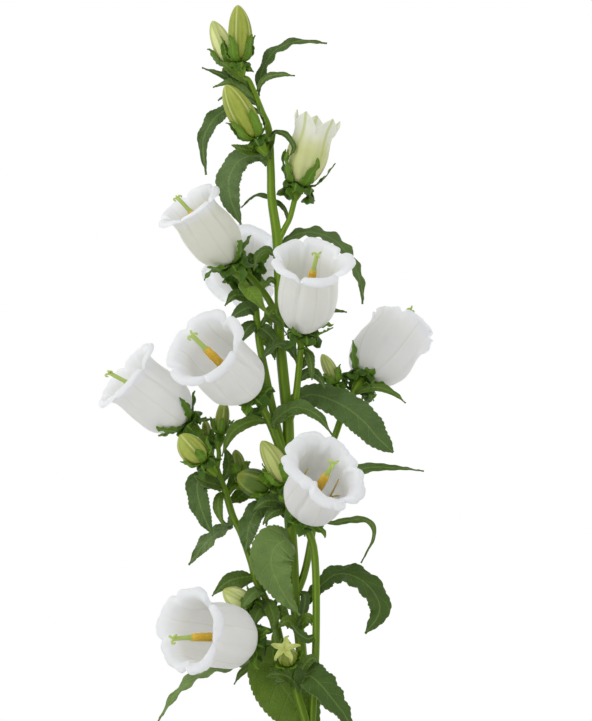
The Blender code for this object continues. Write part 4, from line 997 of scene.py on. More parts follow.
# %% Sepal tissue
# A young leafy skin: brighter and yellower than the leaves, and matt. The crumpled appendages
# are drawn darker: painted shade, for the shade in their folds.
sepal_tissue, tree, shader, where, from_rib, tone, rim, back = new_material(
    "sepal_tissue", 0.5, ("from_rib", "tone", "rim", "back"), IOR=1.42, Specular_IOR_Level=0.3)
patches = node(tree, "TexNoise", {"Vector": where, "Scale": 240.0, "Detail": 3.0})
net = node(tree, "TexVoronoi", {"Vector": where, "Scale": 700.0}, feature="DISTANCE_TO_EDGE")
net_line = node(tree, "MapRange", {0: net, 1: 0.0, 2: 0.15, 3: 1.0, 4: 0.0})
rib_line = node(tree, "MapRange", {0: from_rib, 1: 0.0002, 2: 0.0007, 3: 0.4, 4: 0.0}, **SOFT)
rim_line = node(tree, "MapRange", {0: rim, 1: 0.8, 2: 1.0, 4: 0.22})
back_share = node(tree, "Math", {0: back, 1: 0.4}, operation="MULTIPLY")
colour = node(tree, "Mix", {0: patches, 6: "#2b4608", 7: "#3c5e0e"})
for share, over in ((tone, "#668d1c"), (rib_line, "#88a63a"), (rim_line, "#6d9426"),
                    (back_share, "#5a7d24")):
    colour = node(tree, "Mix", {0: share, 6: colour, 7: over})
relief = node(tree, "Bump", {"Height": net_line, "Strength": -0.35, "Distance": 0.0003})
feed(tree, shader, {"Base Color": colour, "Normal": relief})
print(sepal_tissue.name, "nodes:", len(tree.nodes))

# %% Widths, and the lines of sepals and appendages
LOBES = 5
BELL_CUP = 0.0047
# Share of the length, and half width in mm
SEPAL_HALF = ((0, 2.0), (0.15, 2.5), (0.4, 3.1), (0.6, 2.7), (0.8, 1.7), (0.92, 0.8), (1, 0.25))
APPENDAGE_HALF = ((0, 2.4), (0.2, 4.0), (0.45, 5.2), (0.7, 5.3), (0.9, 4.4), (1, 2.4))
# Radius and height in mm, seen from the side: a sepal that lies close on its bell, one that
# spreads, and one of the half-open bell
CLOSE_SEPAL = ((3.4, -0.3), (7.4, 1.2), (11.2, 3.8), (14.2, 7.6), (16.2, 11.4), (17.6, 14.8))
SPREAD_SEPAL = ((3.4, -0.3), (6.8, 0.0), (10.2, 0.6), (13.8, 0.8), (16.8, 0.0), (19.0, -1.4))
HALF_OPEN_SEPAL = ((3.4, -0.2), (6.6, 0.6), (9.6, 3.0), (12.1, 7.4), (13.6, 12.5), (14.6, 17.0))
APPENDAGE = ((3.5, -0.2), (6.6, 1.0), (8.8, 0.4), (9.3, -2.0), (8.2, -4.8), (5.6, -6.6))


def between(table, t):
    """The value of a table of (t, value) rows at t, along straight lines between the rows."""
    for (low, start), (high, end) in zip(table, table[1:]):
        if t <= high:
            return start + (end - start) * (t - low) / (high - low)
    return table[-1][1]


# %% A calyx of ten bent blades on a small cup
# In metres: how far a tip strays sideways and curls out, the teeth, the waves and the
# crumpling. Then the fold, how far the face leans outwards, and the range of its lightness.
SEPAL_LOOK = {"astray": 0.0016, "curl": 0.0014, "tooth": 0.0005, "wave": 0.0007,
              "crumple": 0.0003, "crumple_size": 0.004, "fold": 0.25, "lean": -0.4,
              "tone": (0.35, 0.7)}
# The appendages' low tone is painted shade: it darkens them for the shade in their crumpled folds
APPENDAGE_LOOK = {"astray": 0.0006, "curl": 0.0003, "tooth": 0.0001, "wave": 0.0006,
                  "crumple": 0.0011, "crumple_size": 0.0034, "fold": -0.55, "lean": 0.8,
                  "tone": (0, 0.25)}
CALYX_WAVE_LENGTH = 0.0060
UP = Vector((0, 0, 1))


def calyx(name, cup, sepal_lines, sepal_half, appendage_line, appendage_half, reach, chance,
          bright=1, size=1):
    """Sepals over the petals and appendages between them. Lines and widths are in metres.

    The five sepals each have a line of their own. A small calyx also has small teeth and waves.
    """
    blades = []
    for number in range(2 * LOBES):
        angle = math.pi / LOBES * number
        outward, sideways = around(angle, 1, 0), around(angle + math.pi / 2, 1, 0)
        if number % 2 == 0:
            look, half_table = SEPAL_LOOK, sepal_half
            line, share = sepal_lines[number // 2], reach[number // 2]
        else:
            look, half_table = APPENDAGE_LOOK, appendage_half
            line, share = appendage_line, 1
        midrib = []
        for i, (radius, height) in enumerate(line):
            late = (i / (len(line) - 1)) ** 2
            astray = late * chance.uniform(-1, 1) * look["astray"] * size
            curl = late * chance.uniform(-0.3, 1) * look["curl"] * size
            midrib.append(outward * (cup + (radius - cup) * share + curl) + sideways * astray
                          + Vector((0, 0, height * share)))
        scale = chance.uniform(0.85, 1.12)
        sized = {edge: look[edge] * size for edge in ("tooth", "wave", "crumple", "crumple_size")}
        blades.append(laid(sepal_blank, f"{name}_{number}", SEPAL_ROWS, midrib,
                           lambda t: scale * between(half_table, t), UP + outward * look["lean"],
                           chance, wave_length=CALYX_WAVE_LENGTH * size, fold=look["fold"],
                           tone=chance.uniform(*look["tone"]) * bright, **sized))
    return joined(blades, name)


def in_metres(table):
    return [(a * MM, b * MM) for a, b in table]


def half_in_metres(table, scale=1):
    return [(t, half * MM * scale) for t, half in table]


# %% Calyxes of the open bells and of the half-open one
SEPAL_WALL = 0.0004
CUP_SIDE = ((0.3, -1.15), (2.2, -1.15), (3.6, -0.7), (4.7, 0.2), (5.6, 1.1))
CUP_COLUMNS = 30
# The cup counts as this far from a rib, so that no rib is drawn on it
OFF_ANY_RIB = 0.002
cup_blank = turned("cup_blank", in_metres(CUP_SIDE), CUP_COLUMNS)
pole_closed(cup_blank, CUP_COLUMNS, 0)
kept(cup_blank, from_rib=OFF_ANY_RIB)

FULL_REACH = (1, 1, 1, 1, 1)
# How far each of the five sepals spreads from its bell, from 0 to 1
SPREAD = {"bell_high_left": (0.1, 0.6, 0.5, 1.0, 0.3), "bell_right": (0.9, 0.2, 0.0, 0.9, 0.7)}


def cupped_calyx(name, sepal_lines, reach, chance, matrix):
    """An open flower's calyx on its cup, in its place."""
    blades = calyx(name + "_sepals", BELL_CUP, sepal_lines, half_in_metres(SEPAL_HALF),
                   in_metres(APPENDAGE), half_in_metres(APPENDAGE_HALF), reach, chance)
    sepals = joined([blades, copied(cup_blank, name + "_cup")], name + "_sepals")
    stood(walled(sepals, SEPAL_WALL), matrix)
    dressed(sepals, [name + "_calyx"], sepal_tissue)


for name, (_, _, base, axis, turn, _, reach) in BELLS.items():
    chance = random.Random(name + " calyx")
    spreads = SPREAD.get(name) or [chance.uniform(0, 1) for _ in range(LOBES)]
    lines = [in_metres([(r0 + (r1 - r0) * spread, z0 + (z1 - z0) * spread)
                        for (r0, z0), (r1, z1) in zip(CLOSE_SEPAL, SPREAD_SEPAL)])
             for spread in spreads]
    cupped_calyx(name, lines, reach, chance, axis_frame(base, axis, turn))

_, _, base, axis, _, _ = HALF_OPEN
cupped_calyx("bell_half_open", [in_metres(HALF_OPEN_SEPAL)] * LOBES, FULL_REACH,
             random.Random("half open"), axis_frame(base, axis))

# %% Calyxes of the buds, one piece for each stem
# A bud's cup as a share of its radius, and how far out and down its appendages go, in metres
BUD_CUP = 0.53
BUD_APPENDAGE = (0.0028, 0.0036)
# Sepals of a bud are lighter than a bell's, and their teeth and waves are half as large
BUD_BRIGHT = 1.4
BUD_FRINGE = 0.5

bud_calyxes = {key: [] for key in stem_lines}
for name, (key, _, base, _, _, turn) in BUDS.items():
    radius, length, axis, swell = bud_size(name)
    cup = BUD_CUP * radius
    # The sepals rise ever further off the bud and end just below its middle
    sepal_line = ((cup * 0.7, -0.0003), (radius * 0.75, 0.03 * length),
                  (radius + 0.0008, 0.12 * length), (radius + 0.0014, 0.26 * length),
                  (radius + 0.0022, 0.40 * length), (radius + 0.0030, 0.46 * length))
    out, down = (reach * swell for reach in BUD_APPENDAGE)
    appendage_line = ((cup * 0.6, -0.0002), (cup + 0.6 * out, -0.1 * down),
                      (cup + out, -0.5 * down), (cup + out, -down), (cup + 0.6 * out, -1.5 * down))
    blades = calyx(name + "_sepals", cup, [sepal_line] * LOBES,
                   half_in_metres(SEPAL_HALF, 0.45 + 0.45 * swell), appendage_line,
                   half_in_metres(APPENDAGE_HALF, 0.3 + 0.5 * swell), FULL_REACH,
                   random.Random(name), BUD_BRIGHT, BUD_FRINGE)
    bud_calyxes[key].append(stood(blades, axis_frame(base, axis, turn)))
for key, blades in bud_calyxes.items():
    sepals = walled(joined(blades, f"stem_{key}_bud_sepals"), SEPAL_WALL)
    dressed(sepals, [f"stem_{key}"], sepal_tissue)

# %% [markdown]
# ## Buds
#
# A closed bud is a pointed spindle: five petals folded edge to edge. The middle of each petal
# stands up as a thin pale ridge between two furrows, which are painted darker as shade, and the
# petals' edges meet in a shallow valley. A turned shell is drawn up once, and each bud then gets
# its own length, its ridges and a slight twist.

# %% Bud skin
# Petal skin that is still green: soft sheen, pale yellow-green ridges, and furrows drawn
# olive-dark, which is painted shade.
bud_skin, tree, shader, where, off_rib, along, dark, pale = new_material(
    "bud_petal_skin", 0.42, ("off_rib", "along", "dark", "pale"), IOR=1.42,
    Subsurface_Weight=0.12, Subsurface_Scale=0.001)
streak = node(tree, "TexNoise", {"Vector": where, "Scale": 260.0, "Detail": 3.0})
# Painted shade: the furrows beside each ridge are drawn darker
furrow = node(tree, "MapRange", {0: off_rib, 1: 0.0024, 2: 0.0011, 3: 0.0, 4: 0.45}, **SOFT)
ridge = node(tree, "MapRange", {0: off_rib, 1: 0.0008, 2: 0.0003, 3: 0.0, 4: 0.65}, **SOFT)
ripe = node(tree, "MapRange", {0: dark, 3: 1.0, 4: 0.25})
ridge_share = node(tree, "Math", {0: ridge, 1: ripe}, operation="MULTIPLY")
to_tip = node(tree, "MapRange", {0: along, 1: 0.7, 2: 1.0, 4: 0.4})
colour = node(tree, "Mix", {0: streak, 6: "#8a982c", 7: "#a8b246"})
for share, over in ((dark, "#46640f"), (pale, "#dbe19a"), (furrow, "#6f7f20"),
                    (ridge_share, "#c8cf82"), (to_tip, "#bcc65a")):
    colour = node(tree, "Mix", {0: share, 6: colour, 7: over})
relief = node(tree, "Bump", {"Height": streak, "Strength": 0.2, "Distance": 0.0004})
feed(tree, shader, {"Base Color": colour, "Normal": relief})
print(bud_skin.name, "nodes:", len(tree.nodes))

# %% The bud's blank
BUD_COLUMNS = 80
BUD_ROWS = 30
# Share of the radius and of the length, from the base to the tip
BUD_LINE = ((0.02, 0), (0.36, 0.025), (0.62, 0.07), (0.84, 0.16), (0.96, 0.28), (1.0, 0.42),
    (0.97, 0.56), (0.86, 0.7), (0.68, 0.82), (0.46, 0.91), (0.24, 0.97), (0.02, 1.0))
bud_blank = turned("bud_blank", smooth_rows(BUD_LINE, BUD_ROWS), BUD_COLUMNS)
print("bud rows:", BUD_ROWS + 1, "columns:", BUD_COLUMNS)
# How far the ridges stand up, and furrows and valleys go in, as shares of the bud's radius
RIDGE_UP = 0.05
FURROW_IN = 0.045
VALLEY_IN = 0.10


def petal_place(angle):
    """The petal that an angle is in, and the place in it: -1 and 1 at its edges."""
    turns = angle / math.tau * LOBES
    lobe = round(turns)
    return lobe % LOBES, 2 * (turns - lobe)


def furrowed_bud(name, radius, length, tone, chance):
    """A bud of that size on the Z axis."""
    piece = copied(bud_blank, name)
    twist = chance.uniform(-0.25, 0.25)
    bend = around(chance.uniform(0, math.tau), chance.uniform(0, 0.05) * length, 0)
    off_rib, along = [], []
    for vertex in piece.data.vertices:
        t = vertex.co.z
        angle = math.atan2(vertex.co.y, vertex.co.x)
        _, side = petal_place(angle)
        here = radius * vertex.co.to_2d().length
        fades = math.sin(math.pi * min(1.0, 0.04 + 0.94 * t)) ** 0.6
        # Each form's place and width are shares of half a petal's width
        ridge = math.exp(-(side / 0.11) ** 2)
        furrow = math.exp(-((abs(side) - 0.28) / 0.14) ** 2)
        valley = step_between(0.55, 1, abs(side))
        here *= 1 + fades * (RIDGE_UP * ridge - FURROW_IN * furrow - VALLEY_IN * valley)
        vertex.co = around(angle + twist * t, here, t * length) + bend * math.sin(math.pi * t)
        off_rib.append(abs(side) * math.pi / LOBES * here)
        along.append(t)
    kept(piece, off_rib=off_rib, along=along, dark=tone[0], pale=tone[1])
    pole_closed(piece, BUD_COLUMNS, BUD_ROWS)
    pole_closed(piece, BUD_COLUMNS, 0)
    return piece


# %% Eleven closed buds, and one whose tips have just turned out
STAR_ARM = ((0, 0.9), (0.35, 0.98), (0.8, 1.0), (1.25, 0.97), (1.6, 0.9))
STAR_HALF = ((0, 1.2), (0.25, 1.9), (0.5, 1.5), (0.75, 0.8), (1, 0.1))
STAR_BODY = 0.93
STAR_WALL = 0.0006
# How much greener and darker than the rest a bud still is, and how pale
PLAIN_BUD_TONE = (0.08, 0)
BUD_TONE = {"bud_level": (0.95, 0), "bud_dark": (0.8, 0), "bud_hidden": (0.4, 0),
            "bud_far_left": (0, 0.08), "bud_steep": (0, 0.45), "bud_top_left": (0, 1),
            "bud_low": (0, 0.9), "bud_right": (0, 0.5), "bud_star": (0.5, 0)}

for name, (_, _, base, _, _, turn) in BUDS.items():
    radius, length, axis, swell = bud_size(name)
    chance = random.Random(name)
    skin = furrowed_bud(name + "_skin", radius, length * (STAR_BODY if name == "bud_star" else 1),
                        BUD_TONE.get(name, PLAIN_BUD_TONE), chance)
    if name == "bud_star":
        arms = []
        for number in range(LOBES):
            angle = math.tau / LOBES * number
            midrib = [around(angle + chance.uniform(-0.1, 0.1), share * radius,
                             rise * length + chance.uniform(-1, 1) * 0.0004)
                      for share, rise in STAR_ARM]
            arms.append(laid(sepal_blank, f"star_arm_{number}", SEPAL_ROWS, midrib,
                             lambda t: MM * between(STAR_HALF, t), UP, chance, tooth=0,
                             wave=0.0002, fold=0.35))
        # The arms show the petals' pale inside
        arms = walled(joined(arms, "star_arms"), STAR_WALL)
        kept(arms, off_rib=0.0005, along=1.0, dark=0.0, pale=0.9)
        skin = joined([skin, arms], name + "_skin")
    stood(skin, axis_frame(base, axis, turn))
    dressed(skin, [name], bud_skin, crease_degrees=80)

# %% [markdown]
# ## Petals
#
# A bellflower's five petals are grown together into one thin bell. Each petal has one pale
# line down its middle, and above the throat each lobe rolls outwards and back, so the rim is a
# soft cushion with puckers across it and a notch between two lobes. The tube is turned once as
# a shell, with spare rows for the lip. Each flower's copy then curls those rows its own way,
# column by column, and gets its notches and folds, and only after that its thickness.

# %% White petal tissue
# A thin living tissue full of air: almost white, matt with a silky sheen, lit from within, so
# light that falls on one side of a bell also shows inside it. Faint veins run lengthwise about
# 1.5 mm apart; the base and the middle lines are yellow-green, and so is a younger bell.
VEIN_GAP = 0.0015
white_petal, tree, shader, where, off_rib, along, young = new_material(
    "white_petal_tissue", 0.52, ("off_rib", "along", "young"), IOR=1.38, Subsurface_Weight=0.85,
    Subsurface_Scale=0.0042, Subsurface_Radius=(1.0, 1.0, 0.96), Sheen_Weight=0.06)
clouds = node(tree, "TexNoise", {"Vector": where, "Scale": 110.0, "Detail": 3.0})
crinkle = node(tree, "TexNoise", {"Vector": where, "Scale": 420.0, "Detail": 4.0})
veins = node(tree, "Math", {0: off_rib, 1: math.tau / VEIN_GAP}, operation="MULTIPLY")
vein_wave = node(tree, "Math", {0: veins}, operation="COSINE")
# Painted shade: the lip is drawn a cooler, bluish white, the tint that a white petal takes in shade
lip_cool_shade = node(tree, "MapRange", {0: along, 1: 0.8, 2: 1.05}, **SOFT)
at_base = node(tree, "MapRange", {0: along, 1: 0.0, 2: 0.3, 3: 0.5, 4: 0.0}, **SOFT)
line = node(tree, "MapRange", {0: off_rib, 1: 0.0001, 2: 0.0009, 3: 0.25, 4: 0.0}, **SOFT)
below_lip = node(tree, "MapRange", {0: along, 1: 0.95, 2: 1.2, 3: 1.0, 4: 0.0})
line_share = node(tree, "Math", {0: line, 1: below_lip}, operation="MULTIPLY")
colour = node(tree, "Mix", {0: clouds, 6: "#f2f3f3", 7: "#f8f9fb"})
for share, over in ((young, "#dfe1bd"), (lip_cool_shade, "#f0f3fb"), (at_base, "#d2d6b2"),
                    (line_share, "#cdd1a6")):
    colour = node(tree, "Mix", {0: share, 6: colour, 7: over})
vein_relief = node(tree, "Math", {0: vein_wave, 1: 0.1, 2: crinkle}, operation="MULTIPLY_ADD")
relief = node(tree, "Bump", {"Height": vein_relief, "Strength": 0.2, "Distance": 0.0004})
feed(tree, shader, {"Base Color": colour, "Normal": relief})
print(white_petal.name, "nodes:", len(tree.nodes))

# %% The bell's blank
BELL_COLUMNS = 200
# Radius and height in mm, from the base up to the throat
TUBE = ((0.1, 0), (3.2, 0.5), (6.5, 2.2), (9.8, 5.2), (12.6, 9.0), (14.9, 13.5), (16.2, 18.5),
    (16.6, 23.5), (16.5, 28.5), (16.1, 33.0), (15.8, 37.0), (16.0, 40.5), (16.8, 43.5))
TUBE_ROWS = 2 * (len(TUBE) - 1)
LIP_ROWS = 18
bell_rows = smooth_rows(in_metres(TUBE), TUBE_ROWS)
throat = bell_rows[-1]
# The lip's rows wait just above the throat; each bell then gives them its own curl
bell_rows += [(throat[0], throat[1] + 0.3 * MM * (row + 1)) for row in range(LIP_ROWS)]
bell_blank = turned("bell_blank", bell_rows, BELL_COLUMNS)
print("bell rows:", len(bell_rows), "columns:", BELL_COLUMNS)

# %% The curl of each lobe
# Length of the lobe past the throat in mm and how far it curls in degrees. A short curl leaves
# the lobe standing open, and half a turn or more rolls it back against the tube.
PLAIN_LIP = ((9, 165), (8.5, 180), (9, 150), (8.5, 175), (9, 165))
LIPS = {
    "bell_high_left": ((8.5, 185), (6, 95), (7, 110), (8.5, 150), (6, 150)),
    "bell_middle": ((7, 120), (7, 125), (8.5, 165), (9.5, 205), (9, 120)),
    "bell_left": ((8.5, 175), (9, 160), (9, 160), (9, 195), (9, 200)),
    "bell_far_left": ((8.5, 165), (8, 130), (8, 130), (8.5, 150), (8.5, 180)),
    "bell_right": ((2.5, 40), (1.8, 40), (5.5, 200), (2, 60), (2.5, 50)),
    "bell_front": ((9.5, 180), (10.5, 170), (12.5, 180), (11.5, 195), (10.5, 190)),
    "bell_low": ((10, 200), (8, 185), (9.5, 150), (7.5, 190), (9, 195)),
}
# How open the notch after each lobe is, from 0, where the rolled rim runs on, to 1
PLAIN_GAPS = (0.3, 0.3, 0.3, 0.3, 0.3)
GAPS = {
    "bell_high_left": (0.7, 0.4, 0.4, 0.4, 0.5),
    "bell_middle": (0.3, 0.6, 1.0, 0.5, 0.7),
    "bell_left": (0.5, 0.12, 0.4, 0.5, 1.0),
    "bell_far_left": (0.3, 0.3, 0.4, 0.3, 1.0),
    "bell_right": (0.15, 0.5, 0.3, 0.3, 0.3),
    "bell_front": (0.1, 0.15, 0.05, 0.9, 0.15),
    "bell_low": (1.0, 0.15, 0.2, 0.2, 1.0),
}
# The petals' middles stand over the gaps between the sepals: half a petal round from them
PETAL_TURN = {"bell_low": 0, "bell_right": 18}
HALF_PETAL = 180 / LOBES
# How deep the puckers of the lip are, how yellow-green the bell still is, and how much fuller
# than the blank its base is, in mm
PLAIN_PUCKER, PLAIN_YOUNG, PLAIN_FULLER = 0.1, 0.1, 0.4
PUCKER = {"bell_front": 0.19, "bell_low": 0.15}
YOUNG = {"bell_high_left": 0.65, "bell_middle": 0.35}
FULLER = {"bell_high_left": 0.8, "bell_left": 1.2, "bell_far_left": 1.6, "bell_right": 1.0,
          "bell_low": 1.4}
# Bells that are wider all the way up than the blank, as a share of its radius
WIDER = {"bell_right": 1.13, "bell_far_left": 1.06}
# Bells whose rim is pressed flat somewhere: where, in degrees round the axis, how far in and how
# much higher the rim stands there, in mm
PRESSED = {"bell_front": ((172, 6.5, 2.0), (340, 4.5, 0)), "bell_high_left": ((18, 2.0, 0),),
           "bell_right": ((72, 0, -2.8),)}
PRESSED_WIDE = math.radians(44)
LIP_START = math.radians(14)


def lip_curl(length, curl):
    """Steps (out, up) of a lip that leaves the throat upright and curls outwards, ever tighter."""
    tilt, out, up, points = LIP_START, 0.0, 0.0, [(0.0, 0.0)]
    for i in range(LIP_ROWS):
        tilt += curl / LIP_ROWS * (0.4 + 1.2 * (i + 0.5) / LIP_ROWS)
        out += length / LIP_ROWS * math.sin(tilt)
        up += length / LIP_ROWS * math.cos(tilt)
        points.append((out, up))
    return points


plain_tip = lip_curl(PLAIN_LIP[0][0], math.radians(PLAIN_LIP[0][1]))[-1]
print("a plain lip's tip, mm out and up:", [round(step, 1) for step in plain_tip])

# %% Shaping one bell
PETAL_WALL = 0.0005
NOTCH_FROM = 0.72
NOTCH_DIP = 0.0034
NOTCH_PULL = 0.0010
CREASE_PULL = 0.0012
# In metres: how far the seam between two petals goes in and the line down each stands out, how
# far the wall wanders, and how far it ripples near the throat for a pucker of 1
SEAM_IN = 0.0006
LINE_OUT = 0.0003
WANDER = 0.0009
RIPPLE = 0.002
# The size of that noise up the wall
WANDER_SIZE = 0.014
RIPPLE_SIZE = 0.007


def opened_bell(name, size, lips, gaps, pucker, young, fuller, wider, pressed, chance):
    """A copy of the blank with five lobes of its own."""
    piece = copied(bell_blank, name)
    # Puckers across each lobe: where they are, from -1 to 1, and how deep
    puckers = [[(chance.uniform(-0.6, -0.2), pucker * chance.uniform(0.2, 1.3)),
                (chance.uniform(-0.1, 0.1), (0.05 + 0.5 * pucker) * chance.uniform(0.2, 1.2)),
                (chance.uniform(0.2, 0.6), pucker * chance.uniform(0.2, 1.3))]
               for _ in range(LOBES)]
    dips = [NOTCH_DIP * chance.uniform(0.6, 1.2) for _ in range(LOBES)]
    oval = 1 + chance.uniform(-0.03, 0.03)
    drift = somewhere(chance)
    columns = []
    for vertex in piece.data.vertices[:BELL_COLUMNS]:
        angle = math.atan2(vertex.co.y, vertex.co.x)
        lobe, side = petal_place(angle)
        # Towards its edge each lobe's curl nears that of its neighbour
        edge = 0.5 * step_between(0.45, 1, abs(side))
        next_lobe = (lobe + (1 if side > 0 else -1)) % LOBES
        length, curl = (a + (b - a) * edge for a, b in zip(lips[lobe], lips[next_lobe]))
        gap = gaps[lobe if side > 0 else lobe - 1]
        crease = sum(depth * math.exp(-abs(side - at) / 0.10) for at, depth in puckers[lobe])
        # A lobe is shorter towards an open notch and at its puckers, and a little uneven
        grown = (1 - (0.1 + 0.78 * gap) * abs(side) ** (6 - 3.4 * gap)) * (1 - 0.7 * crease) * (
            1 + 0.22 * noise.noise(around(angle, 1.4, 0) + drift))
        steps = lip_curl(length * MM * grown, math.radians(curl) * (1 - 0.25 * abs(side) ** 3))
        notch = step_between(NOTCH_FROM, 1, abs(side))
        dip = dips[lobe if side > 0 else lobe - 1] * notch * (0.08 + 0.92 * gap)
        inward, higher = 0.0, 0.0
        for middle, how_far_in, how_much_higher in pressed:
            off_press = math.remainder(angle - math.radians(middle), math.tau)
            inward += how_far_in * MM * math.exp(-(off_press / PRESSED_WIDE) ** 2)
            higher += how_much_higher * MM * math.exp(-(off_press / PRESSED_WIDE) ** 2)
        columns.append((angle, side, crease, notch, dip, steps, inward, higher))
    off_rib, along = [], []
    for index, vertex in enumerate(piece.data.vertices):
        row, column = divmod(index, BELL_COLUMNS)
        angle, side, crease, notch, dip, steps, inward, higher = columns[column]
        radius, height = bell_rows[min(row, TUBE_ROWS)]
        radius *= wider
        out, up = steps[max(0, row - TUBE_ROWS)]
        in_tube = min(row, TUBE_ROWS) / TUBE_ROWS
        near_throat = step_between(0.55, 1, in_tube)
        wander = noise.noise(around(angle, 1.8, height / WANDER_SIZE) + drift)
        ripple = noise.noise(around(angle, 5.5, height / RIPPLE_SIZE) + drift)
        fold = step_between(0.1, 0.6, in_tube)
        seam = math.exp(-((abs(side) - 1) / 0.16) ** 2)
        line = math.exp(-(side / 0.08) ** 2)
        # A fuller base swells over the lowest 6 mm and is gone 24 mm up
        level = height / MM
        base_bulge = fuller * MM * step_between(0, 6, level) * (1 - step_between(9, 24, level))
        radius += out + base_bulge + (-SEAM_IN * seam + LINE_OUT * line) * fold
        radius += WANDER * wander * min(1.0, row / 8) + pucker * RIPPLE * ripple * near_throat
        radius -= near_throat * (NOTCH_PULL * notch + CREASE_PULL * crease)
        radius -= inward * step_between(0.3, 1, in_tube)
        height += higher * step_between(0.3, 1, in_tube)
        vertex.co = around(angle, radius, height + up - dip * near_throat) * size
        vertex.co.x *= oval
        vertex.co.y /= oval
        off_rib.append(abs(side) * math.pi / LOBES * radius)
        along.append(in_tube + max(0, row - TUBE_ROWS) / LIP_ROWS)
    kept(piece, off_rib=off_rib, along=along, young=young)
    pole_closed(piece, BELL_COLUMNS, 0)
    return walled(piece, PETAL_WALL)


# %% Eight open bells
for name, (_, _, base, axis, turn, size, _) in BELLS.items():
    petals = opened_bell(name + "_petals", size, LIPS.get(name, PLAIN_LIP),
                         GAPS.get(name, PLAIN_GAPS), PUCKER.get(name, PLAIN_PUCKER),
                         YOUNG.get(name, PLAIN_YOUNG), FULLER.get(name, PLAIN_FULLER),
                         WIDER.get(name, 1), PRESSED.get(name, ()), random.Random(name))
    stood(petals, axis_frame(base, axis, turn + PETAL_TURN.get(name, HALF_PETAL)))
    dressed(petals, [name], white_petal, crease_degrees=80)

# %% [markdown]
# ## The half-open bell
#
# Near the top one flower has just split its bud: a narrow cup of cream-green petals whose five
# tips stand as soft points. It is turned like a bell, without the rolled lip, and its rim is
# cut down between the points by moving the upper rows.

# %% Cream petal tissue
# The same tissue, younger: still yellow-green over the ribs and the base, whiter in the points.
cream_petal, tree, shader, where, off_rib, along = new_material(
    "cream_petal_tissue", 0.48, ("off_rib", "along"), IOR=1.38, Subsurface_Weight=0.6,
    Subsurface_Scale=0.0018, Subsurface_Radius=(1.0, 1.0, 0.8))
clouds = node(tree, "TexNoise", {"Vector": where, "Scale": 150.0, "Detail": 3.0})
to_point = node(tree, "MapRange", {0: along, 1: 0.45, 2: 0.9}, **SOFT)
line = node(tree, "MapRange", {0: off_rib, 1: 0.0003, 2: 0.0014, 3: 0.6, 4: 0.0}, **SOFT)
colour = node(tree, "Mix", {0: clouds, 6: "#c2c785", 7: "#cdd19b"})
for share, over in ((to_point, "#e2e4d4"), (line, "#b3bb6c")):
    colour = node(tree, "Mix", {0: share, 6: colour, 7: over})
relief = node(tree, "Bump", {"Height": clouds, "Strength": 0.2, "Distance": 0.0005})
feed(tree, shader, {"Base Color": colour, "Normal": relief})
print(cream_petal.name, "nodes:", len(tree.nodes))

# %% A cup with five points
HALF_COLUMNS = 120
HALF_ROWS = 34
HALF_LINE = ((0.01, 0), (0.26, 0.015), (0.45, 0.045), (0.66, 0.1), (0.82, 0.18), (0.94, 0.29),
    (1.0, 0.42), (0.97, 0.55), (0.93, 0.66), (0.93, 0.76), (0.98, 0.86), (1.06, 0.94), (1.12, 1.0))
POINTS_FROM = 0.60
NOTCH_AT = 0.80
HALF_OPEN_TURN = 15

_, _, base, axis, length, radius = HALF_OPEN
cup_size = (radius * GRID, length * GRID)
half_rows = smooth_rows(HALF_LINE, HALF_ROWS)
petals = turned("bell_half_open_petals", half_rows, HALF_COLUMNS)
chance = random.Random("half open")
leaning = [chance.uniform(-0.03, 0.08) for _ in range(LOBES)]
off_rib, along = [], []
for index, vertex in enumerate(petals.data.vertices):
    share, t = half_rows[index // HALF_COLUMNS]
    angle = math.atan2(vertex.co.y, vertex.co.x)
    lobe, side = petal_place(angle)
    rim = NOTCH_AT + (1 - NOTCH_AT) * (1 - abs(side)) ** 0.75
    late = max(0.0, (t - POINTS_FROM) / (1 - POINTS_FROM))
    height = t if late == 0 else POINTS_FROM + late * (rim - POINTS_FROM)
    line = math.exp(-(side / 0.12) ** 2)
    valley = step_between(0.5, 1, abs(side))
    share *= 1 + math.sin(math.pi * min(t, 0.9) / 0.9) ** 0.5 * (0.03 * line - 0.06 * valley)
    share += leaning[lobe] * late ** 2 * (1 - abs(side)) - 0.05 * late * valley
    vertex.co = around(angle, share * cup_size[0], height * cup_size[1])
    off_rib.append(abs(side) * math.pi / LOBES * share * cup_size[0])
    along.append(t)
kept(petals, off_rib=off_rib, along=along)
pole_closed(petals, HALF_COLUMNS, 0)
walled(petals, PETAL_WALL)
stood(petals, axis_frame(base, axis, HALF_OPEN_TURN))
dressed(petals, ["bell_half_open"], cream_petal, crease_degrees=80)

# %% [markdown]
# ## Styles, pollen and stigmas
#
# In the middle of each bell stands the style, a pale green rod. Bellflowers shed their pollen
# on it before they open, so its middle is a thick yellow cob, and above it three short green
# arms of the stigma curl back. Round its foot sit five pale scales and the withered stamens.

# %% Style, pollen and stamens
# One soft plant tissue in three colours, told apart by a number kept on the points. Pollen is
# a dry powder with grains well under 0.1 mm, drawn as grains of about 0.9 mm, and quite matt.
pistil_tissue, tree, shader, where, pollen, dry = new_material(
    "style_and_pollen", 0.75, ("pollen", "dry"), IOR=1.4)
grains = node(tree, "TexVoronoi", {"Vector": where, "Scale": 1100.0})
grain_shade = node(tree, "MapRange", {0: grains, 1: 0.1, 2: 0.7})
dusty = node(tree, "Mix", {0: grain_shade, 6: "#ffe268", 7: "#ffc93f"})
powdered = node(tree, "Mix", {0: pollen, 6: "#b7cb6e", 7: dusty})
withered = node(tree, "Mix", {0: dry, 6: powdered, 7: "#dcd3a4"})
relief = node(tree, "Bump", {"Height": grains, "Strength": 0.6, "Distance": 0.0004})
feed(tree, shader, {"Base Color": withered, "Normal": relief})
print(pistil_tissue.name, "nodes:", len(tree.nodes))

